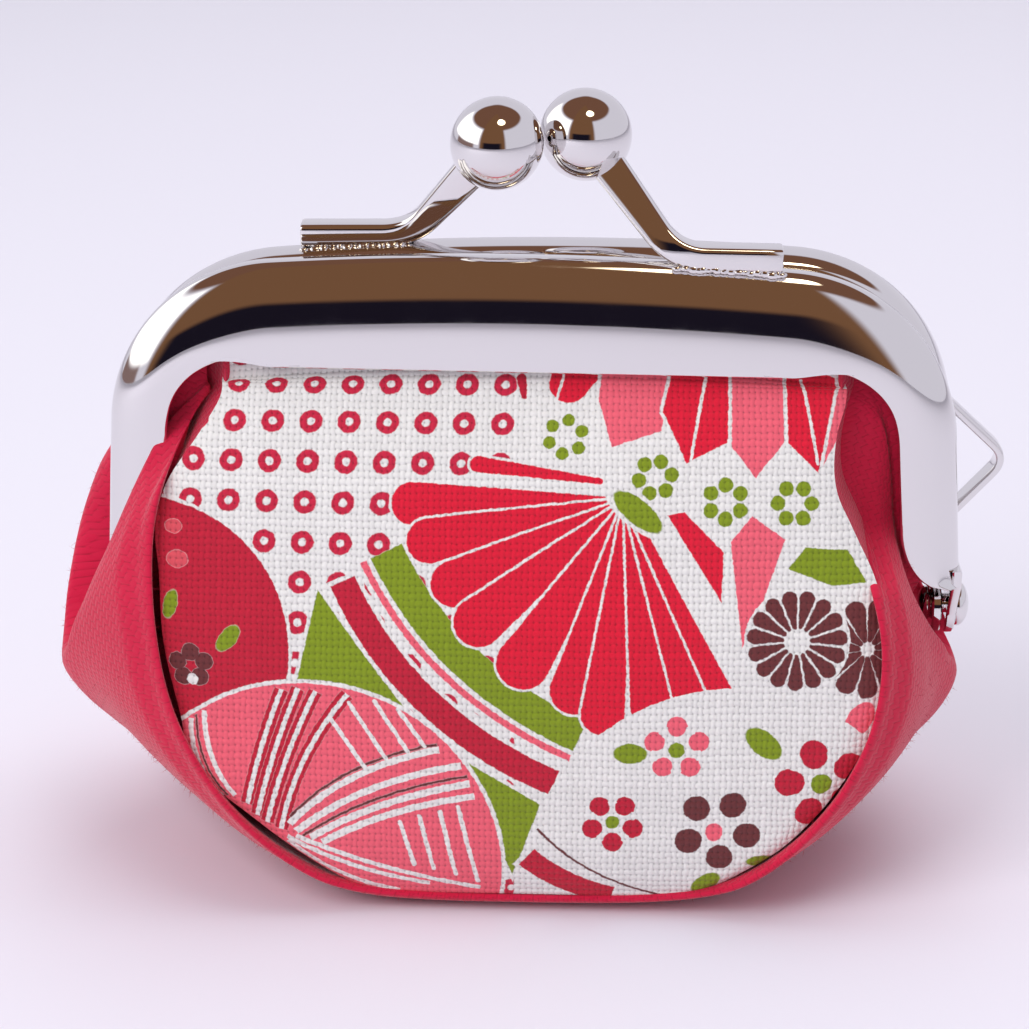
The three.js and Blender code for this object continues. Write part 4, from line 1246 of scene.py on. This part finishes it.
class Tree:
    """A Geometry Nodes tree with named inputs that ends in Realize Instances and Set Material."""

    def __init__(self, name: str, inputs: dict[str, tuple[str, object]]) -> None:
        """Makes the tree.

        Args:
            name: Its name.
            inputs: Name to (kind, value) of each input.
        """
        self.tree = bpy.data.node_groups.new(name, "GeometryNodeTree")
        self.tree.interface.new_socket("Geometry", in_out="INPUT", socket_type="NodeSocketGeometry")
        self.identifiers = {}
        for label, (kind, _) in inputs.items():
            socket = self.tree.interface.new_socket(label, in_out="INPUT", socket_type=f"NodeSocket{kind}")
            self.identifiers[label] = socket.identifier
        self.tree.interface.new_socket("Geometry", in_out="OUTPUT", socket_type="NodeSocketGeometry")
        self.values = {label: value for label, (_, value) in inputs.items()}
        self.entry = self.node("NodeGroupInput")
        self.end = self.node("NodeGroupOutput")

    def node(self, kind: str, **links: object) -> bpy.types.Node:
        """Adds a node and plugs its inputs, named with underscores for spaces."""
        node = self.tree.nodes.new(kind)
        for label, value in links.items():
            socket = node.inputs[label.replace("_", " ")]
            if isinstance(value, bpy.types.NodeSocket):
                self.tree.links.new(value, socket)
            else:
                socket.default_value = value
        return node

    def input(self, label: str) -> bpy.types.NodeSocket:
        """The named input's socket."""
        return self.entry.outputs[label]

    def dress(
        self, host: bpy.types.Object, geometry: bpy.types.NodeSocket, material: bpy.types.Material
    ) -> bpy.types.Object:
        """Ends the tree, runs it on a host and returns the result as a plain piece.

        Args:
            host: The object whose mesh feeds the tree.
            geometry: The socket with the finished instances.
            material: The material of the result.

        Returns:
            The host with the plain mesh.
        """
        real = self.node("GeometryNodeRealizeInstances", Geometry=geometry)
        dressed = self.node("GeometryNodeSetMaterial", Geometry=real.outputs[0], Material=material)
        self.tree.links.new(dressed.outputs[0], self.end.inputs[0])
        modifier = host.modifiers.new(self.tree.name, "NODES")
        modifier.node_group = self.tree
        for label, value in self.values.items():
            modifier[self.identifiers[label]] = value
        graph = bpy.context.evaluated_depsgraph_get()
        mesh = bpy.data.meshes.new_from_object(host.evaluated_get(graph))
        host.modifiers.clear()
        host.data = mesh
        return host


@dataclass
class HingeRivets:
    """The domed pins through the hinge lugs, made by Geometry Nodes at both hinges."""

    head_radius: float = 1.7
    head_height: float = 0.9
    shank_radius: float = 0.75
    tail_radius: float = 1.3
    tail_height: float = 0.6

    def _down(self, tree: Tree, share: float) -> bpy.types.NodeSocket:
        """A step down the shank, as a share of its length."""
        step = tree.node("ShaderNodeMath")
        step.operation = "MULTIPLY"
        tree.tree.links.new(tree.input("Shank length"), step.inputs[0])
        step.inputs[1].default_value = share
        return tree.node("ShaderNodeCombineXYZ", Z=step.outputs[0]).outputs[0]

    def _dome(
        self, tree: Tree, part: str, faces: tuple[int, int], at: bpy.types.NodeSocket | None
    ) -> bpy.types.Node:
        """A flattened ball for the rivet's head or tail."""
        ball = tree.node("GeometryNodeMeshUVSphere", Segments=faces[0], Rings=faces[1], Radius=1.0)
        radius = tree.input(f"{part} radius")
        size = tree.node("ShaderNodeCombineXYZ", X=radius, Y=radius, Z=tree.input(f"{part} height"))
        place = {} if at is None else {"Translation": at}
        return tree.node(
            "GeometryNodeTransform", Geometry=ball.outputs[0], Scale=size.outputs[0], **place
        )

    def build(self, frame: PurseFrame, material: bpy.types.Material) -> bpy.types.Object:
        """Builds both rivets as one piece.

        Args:
            frame: The frame that they join.
            material: Their material.

        Returns:
            The piece.
        """
        outer = frame.outline(frame.side_length)[0]
        pitch = frame.ear_sheet + frame.ear_clearance
        head_x = outer + frame.ear_clearance
        tail_x = outer - pitch - frame.ear_sheet - frame.ear_clearance
        draft = MeshDraft()
        draft.add([[-head_x, 0, frame.hinge_height], [head_x, 0, frame.hinge_height]], [])
        host = draft.piece("hinge_rivets")
        tree = Tree("hinge_rivet_pins", {
            "Head radius": ("Float", self.head_radius * MM),
            "Head height": ("Float", self.head_height * MM),
            "Shank radius": ("Float", self.shank_radius * MM),
            "Shank length": ("Float", (head_x - tail_x) * MM),
            "Tail radius": ("Float", self.tail_radius * MM),
            "Tail height": ("Float", self.tail_height * MM),
        })
        head = self._dome(tree, "Head", (48, 24), None)
        shank = tree.node(
            "GeometryNodeMeshCylinder",
            Vertices=24,
            Radius=tree.input("Shank radius"),
            Depth=tree.input("Shank length"),
        )
        shank = tree.node(
            "GeometryNodeTransform", Geometry=shank.outputs[0], Translation=self._down(tree, -0.5)
        )
        tail = self._dome(tree, "Tail", (32, 12), self._down(tree, -1.0))
        pin = tree.node("GeometryNodeJoinGeometry")
        for part in (head, shank, tail):
            tree.tree.links.new(part.outputs[0], pin.inputs[0])
        smooth = tree.node("GeometryNodeSetShadeSmooth", Geometry=pin.outputs[0])
        place = tree.node("GeometryNodeInputPosition")
        away = tree.node("FunctionNodeAlignEulerToVector", Vector=place.outputs[0])
        away.axis = "Z"
        sideways = tree.node("ShaderNodeVectorMath")
        sideways.operation = "MULTIPLY"
        tree.tree.links.new(place.outputs[0], sideways.inputs[0])
        sideways.inputs[1].default_value = (1.0, 0.0, 0.0)
        tree.tree.links.new(sideways.outputs[0], away.inputs["Vector"])
        points = tree.node("GeometryNodeMeshToPoints", Mesh=tree.input("Geometry"))
        pins = tree.node(
            "GeometryNodeInstanceOnPoints",
            Points=points.outputs[0],
            Instance=smooth.outputs[0],
            Rotation=away.outputs[0],
        )
        return tree.dress(host, pins.outputs[0], material)


@dataclass
class SolderSeam:
    """Small solder beads along the feet of the clasp bars, made by Geometry Nodes."""

    bead_radius: float = 0.3
    spacing: float = 0.34

    def build(self, frame: PurseFrame, material: bpy.types.Material) -> bpy.types.Object:
        """Builds the beads of both bars as one piece.

        Args:
            frame: The frame that carries the bars.
            material: Their material.

        Returns:
            The piece.
        """
        places = []
        chance = np.random.default_rng(3)
        for facing, (start, end, _) in ((-1, frame.front_bar), (1, frame.back_bar)):
            low, high = sorted((start, end))
            for x in np.arange(low + 0.3, high, self.spacing):
                _, z, _, _ = frame.outline(abs(x))
                lift = facing * x * frame.skew
                shift, rise = chance.uniform(-0.2, 0.2), chance.uniform(-0.24, -0.1)
                places.append([x + shift, -3.45 if facing < 0 else 1.55, z + lift + rise])
        draft = MeshDraft()
        draft.add(np.array(places), [])
        host = draft.piece("solder_beads")
        tree = Tree("solder_beads", {"Bead radius": ("Float", self.bead_radius * MM), "Seed": ("Int", 7)})
        bead = tree.node("GeometryNodeMeshIcoSphere", Radius=tree.input("Bead radius"), Subdivisions=2)
        bead = tree.node("GeometryNodeSetShadeSmooth", Geometry=bead.outputs[0])
        size = tree.node("FunctionNodeRandomValue", Seed=tree.input("Seed"))
        size.data_type = "FLOAT_VECTOR"
        size.inputs[0].default_value = (0.9, 0.7, 0.6)
        size.inputs[1].default_value = (1.9, 1.2, 1.15)
        tree.tree.links.new(tree.input("Seed"), size.inputs["Seed"])
        points = tree.node("GeometryNodeMeshToPoints", Mesh=tree.input("Geometry"))
        beads = tree.node(
            "GeometryNodeInstanceOnPoints",
            Points=points.outputs[0],
            Instance=bead.outputs[0],
            Scale=size.outputs[0],
        )
        return tree.dress(host, beads.outputs[0], material)


@dataclass
class Panel:
    """One printed panel: its edge table is in shares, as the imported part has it."""

    half_width: float = 26.5
    half_depth: float = 14.6
    rail_edge: float = 38.3
    crown_radius: float = 250.0
    cloth: float = 0.9
    tuck: float = 2.6
    tuck_depth: float = 3.7
    seam_gap: float = 0.05
    swell: float = 0.7
    tucked_in: float = 0.05
    rows: int = 120
    columns: int = 130
    level: tuple[float, ...] = (
        0.038, 0.081, 0.139, 0.196, 0.28, 0.38, 0.53, 0.645, 0.74, 0.8, 0.9, 0.953,
    )
    left: tuple[float, ...] = (
        0.453, 0.543, 0.657, 0.762, 0.905, 0.942, 0.989, 1.0, 1.01, 0.985, 0.887, 0.842,
    )
    right: tuple[float, ...] = (
        0.475, 0.57, 0.687, 0.77, 0.86, 0.935, 0.964, 0.934, 0.868, 0.826, 0.824, 0.848,
    )
    depth: tuple[float, ...] = (
        0.962, 0.986, 0.993, 0.976, 0.95, 0.897, 0.812, 0.709, 0.627, 0.568, 0.44, 0.345,
    )

    def edge(self, z: np.ndarray, facing: int, side: int) -> np.ndarray:
        """The panel's edge at given heights.

        Args:
            z: Heights in millimetres.
            facing: -1 for the front panel, 1 for the back one.
            side: -1 for the left edge, 1 for the right one.

        Returns:
            Points in millimetres.
        """
        reach = self.left if side < 0 else self.right
        shares = smooth_table(z / self.rail_edge, list(self.level), list(reach))
        depth = smooth_table(z / self.rail_edge, list(self.level), list(self.depth)) * self.half_depth
        return np.stack([side * shares * self.half_width, facing * depth, z], -1)

    def build(self, name: str, facing: int) -> tuple[bpy.types.Object, tuple[float, float], float]:
        """Builds the panel as a closed sheet with a UV map in tenths of a metre.

        Args:
            name: The piece's name.
            facing: -1 for the front panel, 1 for the back one.

        Returns:
            The piece, the size it was cut to and its flat area, in metres.
        """
        z = np.linspace(self.level[0] * self.rail_edge, self.rail_edge + self.tuck, self.rows)
        level = list(self.level) + [1.0, 1.0 + self.tuck / self.rail_edge]
        at = z / self.rail_edge
        left, right = (
            smooth_table(at, level, list(reach) + [reach[-1], reach[-1] - self.tucked_in]) * self.half_width
            for reach in (self.left, self.right)
        )
        tucked = self.tuck_depth / self.half_depth
        depth = smooth_table(at, level, list(self.depth) + [tucked * 1.03, tucked]) * self.half_depth
        along = np.concatenate([[0], np.cumsum(np.hypot(np.diff(z), np.diff(depth)))])
        share = np.linspace(0, 1, self.columns)
        x = -(left - self.seam_gap)[:, None] + (left + right - 2 * self.seam_gap)[:, None] * share
        full = np.sin(np.pi * np.clip(at, 0, 1))[:, None]
        edge = np.minimum(1, np.minimum(share, 1 - share) / 0.05)
        under = np.clip((at - 0.97) / 0.03, 0, 1)[:, None]
        puff = self.swell * full * np.sin(np.pi * share) ** 0.8 - 0.35 * (1 - edge) ** 2 * (1 - under)
        wave = 0.16 * np.sin(x * 0.32 + z[:, None] * 0.21 + facing) * np.sin(z[:, None] * 0.24 + 1.3) * full
        y = facing * (depth[:, None] + puff + wave)
        crown = self.crown_radius - np.sqrt(self.crown_radius**2 - x**2)
        height = z[:, None] - crown * under
        outer = np.stack([x, y, height], -1)
        normal = np.cross(np.gradient(outer, axis=1), np.gradient(outer, axis=0))
        normal /= np.linalg.norm(normal, axis=-1)[..., None]
        normal *= -facing * np.sign(normal[..., 1:2])
        inner = outer + normal * self.cloth
        piece = closed_sheet(name, outer, inner)
        s = x if facing < 0 else -x
        uv = np.stack([s, np.repeat(along[:, None], self.columns, 1)], -1).reshape(-1, 2) / 100
        map_points(piece.data, np.vstack([uv, uv]))
        steps_x = np.linalg.norm(np.diff(outer, axis=1), axis=-1)
        steps_z = np.linalg.norm(np.diff(outer, axis=0), axis=-1)
        area = float((steps_x[:-1] * steps_z[:, :-1]).sum()) * MM * MM
        flat = (float(steps_x.sum(axis=1).max()) * MM, float(steps_z.sum(axis=0).max()) * MM)
        return piece, flat, area


@dataclass
class Gusset:
    """The crimson strip between the panels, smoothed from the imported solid, with fuzz on its surface."""

    levels: int = 3
    turn_radius: float = 30.0
    axis_height: float = 24.0
    fibre_length: float = 0.55
    fibre_radius: float = 0.016
    fibres_per_area: float = 1.1e6
    fuzzy_heights: tuple[float, float] = (1.0, 30.0)
    cut: tuple[float, float] = (0.14, 0.042)
    rim_inward: float = 0.7
    left_fold: float = 31.0
    right_fold: float = 23.5
    folded_depth: float = 2.0
    folded_share: float = 0.25
    shoulder_top: float = 39.5

    def area(self, cloth: bpy.types.Object) -> float:
        """The strip's own area, which is half of its closed surface, in square metres."""
        mesh = cloth.data
        faces = np.empty(len(mesh.polygons))
        mesh.polygons.foreach_get("area", faces)
        return float(faces.sum()) / 2

    def build(self, name: str, node: bpy.types.Object, panel: Panel) -> bpy.types.Object:
        """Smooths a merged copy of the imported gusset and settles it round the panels.

        Args:
            name: The piece's name.
            node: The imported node.
            panel: The panel, for its depth.

        Returns:
            The piece.
        """
        mesh = node.data.copy()
        work = bmesh.new()
        work.from_mesh(mesh)
        bmesh.ops.remove_doubles(work, verts=work.verts, dist=2e-6)
        bmesh.ops.join_triangles(
            work, faces=work.faces, angle_face_threshold=1.2, angle_shape_threshold=2.2, cmp_seam=False
        )
        work.to_mesh(mesh)
        work.free()
        mesh.materials.clear()
        piece = bpy.data.objects.new(name, mesh)
        bpy.context.scene.collection.objects.link(piece)
        smoother = piece.modifiers.new("round", "SUBSURF")
        smoother.levels = smoother.render_levels = self.levels
        graph = bpy.context.evaluated_depsgraph_get()
        smooth = bpy.data.meshes.new_from_object(piece.evaluated_get(graph))
        piece.modifiers.clear()
        piece.data = smooth
        count = len(smooth.vertices)
        points = np.empty(count * 3)
        smooth.vertices.foreach_get("co", points)
        points = points.reshape(-1, 3) / MM
        uv = self._place(points)
        smooth.vertices.foreach_set("co", (self._settle(points, panel) * MM).ravel())
        smooth.shade_smooth()
        map_points(smooth, uv)
        return piece

    def _place(self, points: np.ndarray) -> np.ndarray:
        """Maps the strip by its depth and its way round the purse's middle, in tenths of a metre."""
        angle = np.arctan2(points[:, 0], self.axis_height - points[:, 2])
        return np.stack([points[:, 1], angle * self.turn_radius], -1) / 100

    def _settle(self, points: np.ndarray, panel: Panel) -> np.ndarray:
        """Draws the proud rim towards the panels and folds the upper ends in between the frame's arms."""
        x, y, z = points.T
        depth = panel.edge(z, 1, 1)[:, 1]
        proud = np.clip((np.abs(y) - depth + 1.6) / 1.6, 0, 1)
        proud = proud * proud * (3 - 2 * proud)
        level = np.clip(z / 12, 0, 1)
        x = x - np.sign(x) * self.rim_inward * proud * level
        z = z + self.rim_inward * 0.5 * proud * (1 - level) * np.clip(z / 1.5, 0, 1)
        start = np.where(x < 0, self.left_fold, self.right_fold)
        inside = np.clip((z - start) / 4, 0, 1)
        inside = inside * inside * (3 - 2 * inside)
        past = np.maximum(np.abs(y) - self.folded_depth, 0)
        y = y - np.sign(y) * past * (1 - self.folded_share) * inside
        return np.stack([x, y, np.maximum(z, 0)], -1)

    def shoulders(self, name: str, panel: Panel, arm: float) -> bpy.types.Object:
        """Builds the strip's hollow parts between the panels' edges and the frame's arms.

        Args:
            name: The piece's name.
            panel: The panel, for its edges.
            arm: How far out the arms' channels reach, in millimetres.

        Returns:
            The piece.
        """
        draft = MeshDraft()
        mapped = []
        for side, low in ((-1, self.left_fold - 4), (1, self.right_fold - 3)):
            z = np.linspace(low, self.shoulder_top, 40)
            for facing in (-1, 1):
                seam = panel.edge(z, facing, side)
                share = np.linspace(0, 1, 24)[None, :]
                x = seam[:, :1] * (1 - share**1.5) + side * arm * share**1.5 - side * 0.35 * (1 - share)
                front = np.abs(seam[:, 1:2]) - 0.9
                back = self.folded_depth - 0.4
                dip = np.clip(share / 0.45, 0, 1)
                rise = 1.2 * np.clip(share - 0.6, 0, 1)
                y = facing * (front + (back - front) * dip * dip * (3 - 2 * dip) + rise)
                outer = np.stack([x, y, np.repeat(z[:, None], 24, 1)], -1)
                inner = outer + np.array([side * -0.25, facing * -0.45, 0])
                draft.grid(outer, inner)
                mapped += [outer, inner]
        piece = draft.piece(name, sharp=60)
        map_points(piece.data, self._place(np.vstack([grid.reshape(-1, 3) for grid in mapped])))
        return piece

    def fuzz(self, name: str, cloth: bpy.types.Object, material: bpy.types.Material) -> bpy.types.Object:
        """Grows short fibres on the cloth by Geometry Nodes.

        Args:
            name: The piece's name.
            cloth: The gusset.
            material: The fibres' material.

        Returns:
            The fibres as one piece.
        """
        host = bpy.data.objects.new(name, cloth.data.copy())
        bpy.context.scene.collection.objects.link(host)
        work = bmesh.new()
        work.from_mesh(host.data)
        low, high = self.fuzzy_heights
        bare = [face for face in work.faces if not low * MM < face.calc_center_median().z < high * MM]
        bmesh.ops.delete(work, geom=bare, context="FACES")
        work.to_mesh(host.data)
        work.free()
        tree = Tree("cloth_fuzz", {
            "Fibre length": ("Float", self.fibre_length * MM),
            "Fibre radius": ("Float", self.fibre_radius * MM),
            "Density": ("Float", self.fibres_per_area),
            "Seed": ("Int", 11),
        })
        points = tree.node(
            "GeometryNodeDistributePointsOnFaces",
            Mesh=tree.input("Geometry"),
            Density=tree.input("Density"),
            Seed=tree.input("Seed"),
        )
        fibre = tree.node(
            "GeometryNodeMeshCone",
            Vertices=3,
            Radius_Top=0.0,
            Radius_Bottom=tree.input("Fibre radius"),
            Depth=tree.input("Fibre length"),
        )
        tilt = tree.node("FunctionNodeRandomValue")
        tilt.data_type = "FLOAT_VECTOR"
        tilt.inputs[0].default_value = (-1.2, -1.2, -3.1)
        tilt.inputs[1].default_value = (1.2, 1.2, 3.1)
        tree.tree.links.new(tree.input("Seed"), tilt.inputs["Seed"])
        lean = tree.node("FunctionNodeRotateEuler", Rotation=points.outputs["Rotation"])
        lean.inputs["Rotate By"].default_value = (0.0, 0.0, 0.0)
        lean.space = "LOCAL"
        tree.tree.links.new(tilt.outputs[0], lean.inputs["Rotate By"])
        size = tree.node("FunctionNodeRandomValue")
        size.inputs[2].default_value = 0.4
        size.inputs[3].default_value = 1.1
        fibres = tree.node(
            "GeometryNodeInstanceOnPoints",
            Points=points.outputs[0],
            Instance=fibre.outputs[0],
            Rotation=lean.outputs[0],
            Scale=size.outputs[1],
        )
        return tree.dress(host, fibres.outputs[0], material)


@dataclass
class Studio:
    """The pale floor, the soft light, the room that the metal mirrors, and the camera."""

    azimuth: float = 2.1
    elevation: float = 21.4
    distance: float = 200.0
    target: tuple[float, float, float] = (-1.37, 0.0, 25.63)
    focal_length: float = 93.8

    def camera(self) -> None:
        """Places the camera at the photograph's viewing angle."""
        turn, tilt = math.radians(self.azimuth), math.radians(self.elevation)
        back = Vector((math.sin(turn) * math.cos(tilt), -math.cos(turn) * math.cos(tilt), math.sin(tilt)))
        data = bpy.data.cameras.new("camera")
        data.lens = self.focal_length
        data.sensor_width = 36.0
        data.clip_start = 0.01
        camera = bpy.data.objects.new("camera", data)
        camera.location = (Vector(self.target) + back * self.distance) * MM
        camera.rotation_euler = back.to_track_quat("Z", "Y").to_euler()
        bpy.context.scene.collection.objects.link(camera)
        bpy.context.scene.camera = camera

    def floor(self) -> bpy.types.Object:
        """Makes the plain pale floor."""
        draft = MeshDraft()
        reach = 2500.0
        corners = [[-reach, -reach, 0], [reach, -reach, 0], [reach, reach, 0], [-reach, reach, 0]]
        draft.add(corners, [(0, 1, 2, 3)])
        floor = draft.piece("floor")
        finish = Finish("pale_floor")
        finish.set(Base_Color=linear(230, 227, 238), Roughness=0.7, Specular_IOR_Level=0.2)
        floor.data.materials.append(finish.material)
        return floor

    def lights(self) -> None:
        """Places two large soft lights that the metal doesn't mirror."""
        for name, place, size, power in (
            ("soft_left", (-0.35, -0.35, 0.45), 0.35, 2.0),
            ("soft_top", (0.1, 0.15, 0.6), 0.6, 2.0),
        ):
            data = bpy.data.lights.new(name, "AREA")
            data.size = size
            data.energy = power
            light = bpy.data.objects.new(name, data)
            light.location = place
            light.rotation_euler = (Vector(place) - Vector((0, 0, 0.02))).to_track_quat("Z", "Y").to_euler()
            light.visible_glossy = False
            bpy.context.scene.collection.objects.link(light)

    def room(self) -> None:
        """Builds the surroundings: plain pale light, and zones of a room for the mirror finish alone."""
        world = bpy.data.worlds.new("room")
        world.use_nodes = True
        bpy.context.scene.world = world
        tree = world.node_tree
        node = tree.nodes.new("ShaderNodeTexCoord")
        x, y, z = Wire(tree, node.outputs["Generated"]).parts()
        degrees = 180 / math.pi
        up = z.math("ARCSINE") * degrees
        side = x.math("ARCTAN2", y * -1.0) * degrees
        behind = side.math("ABSOLUTE").step(110, 165)
        ceiling = (up - behind * 14.0 - 44.0).step(-3.0, 3.0)
        colour = mix(tree, linear(226, 224, 236), linear(120, 84, 66), ceiling)
        window = side.step(-136, -128) * side.step(-42, -48) * up.step(5, 9) * up.step(44, 38)
        colour = mix(tree, colour, (1.7, 1.68, 1.65, 1.0), window)
        sill = side.step(-116, -108) * side.step(-54, -62) * up.step(-16, -12) * up.step(9, 5)
        colour = mix(tree, colour, linear(140, 116, 112), sill)
        wall = side.step(-46, -38) * side.step(27, 19) * up.step(-2.5, -0.5)
        colour = mix(tree, colour, linear(124, 88, 62), wall)
        dark = side.step(-38, -28) * side.step(18, 6) * up.step(-2.5, -0.5) * up.step(15, 11)
        colour = mix(tree, colour, linear(26, 22, 34), dark)
        lamp_x, lamp_y = (side - 24.0) * 0.4, up - 65.0
        lamp = join(tree, lamp_x, lamp_y, 0.0).vector("LENGTH").step(9.0, 5.0)
        colour = mix(tree, colour, (9.0, 7.6, 5.2, 1.0), lamp)
        path = tree.nodes.new("ShaderNodeLightPath")
        colour = mix(tree, linear(188, 187, 193), colour, Wire(tree, path.outputs["Is Glossy Ray"]))
        background = tree.nodes["Background"]
        plug(tree, colour, background.inputs["Color"])
        background.inputs["Strength"].default_value = 1.0


def dress(piece: bpy.types.Object, material: bpy.types.Material, slot: str, *nodes: str) -> None:
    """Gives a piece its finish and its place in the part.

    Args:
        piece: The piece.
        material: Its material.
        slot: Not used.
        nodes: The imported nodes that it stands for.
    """
    if not piece.data.materials:
        piece.data.materials.append(material)
    if nodes:
        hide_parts(*nodes)
    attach(piece, "root")
    LOG.info("%s: %d faces", piece.name, len(piece.data.polygons))


def main() -> None:
    """Builds the purse's pieces in order, then the studio."""
    logging.basicConfig(level=logging.INFO, format="%(message)s")
    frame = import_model()
    bpy.context.scene.view_settings.view_transform = "Standard"
    studio = Studio()
    studio.camera()
    surfaces = Surfaces()
    nickel = NickelPlate().make("nickel_plate", surfaces)
    print_cotton = PrintedCotton().make("printed_cotton", surfaces, MotifShapes())
    crimson = DyedTwill().make("crimson_twill", surfaces)
    fuzz_cotton = DyedTwill(colour=(216, 40, 78), gap_shade_and_mottle=(170, 20, 50)).make("crimson_fuzz", surfaces)

    metal = PurseFrame()
    front, back = metal.half("front_frame_half", -1), metal.half("back_frame_half", 1)
    dress(front, nickel, "frame_metal", "front_frame")
    dress(back, nickel, "frame_metal", "back_frame")
    rivets = HingeRivets().build(metal, nickel)
    dress(rivets, nickel, "frame_metal", "hinge_rivet_left", "hinge_rivet_right")
    dress(SolderSeam().build(metal, nickel), nickel, "frame_metal")

    floor = studio.floor()
    cut = Panel()
    for name, facing, half in (("front_print", -1, front), ("back_print", 1, back)):
        panel, flat, area = cut.build(name, facing)
        dress(panel, print_cotton, "printed_cotton", name.replace("print", "panel"))
    strip = Gusset()
    gusset = strip.build("gusset_strip", frame["nodes"]["gusset"], cut)
    dress(gusset, crimson, "crimson_cotton", "gusset")
    shoulders = strip.shoulders("gusset_shoulders", cut, 28.6)
    dress(shoulders, crimson, "crimson_cotton")
    fuzz = strip.fuzz("gusset_fuzz", gusset, fuzz_cotton)
    dress(fuzz, fuzz_cotton, "crimson_cotton")
    strip.area(gusset)

    studio.lights()
    studio.room()


if __name__ == "__main__":
    main()
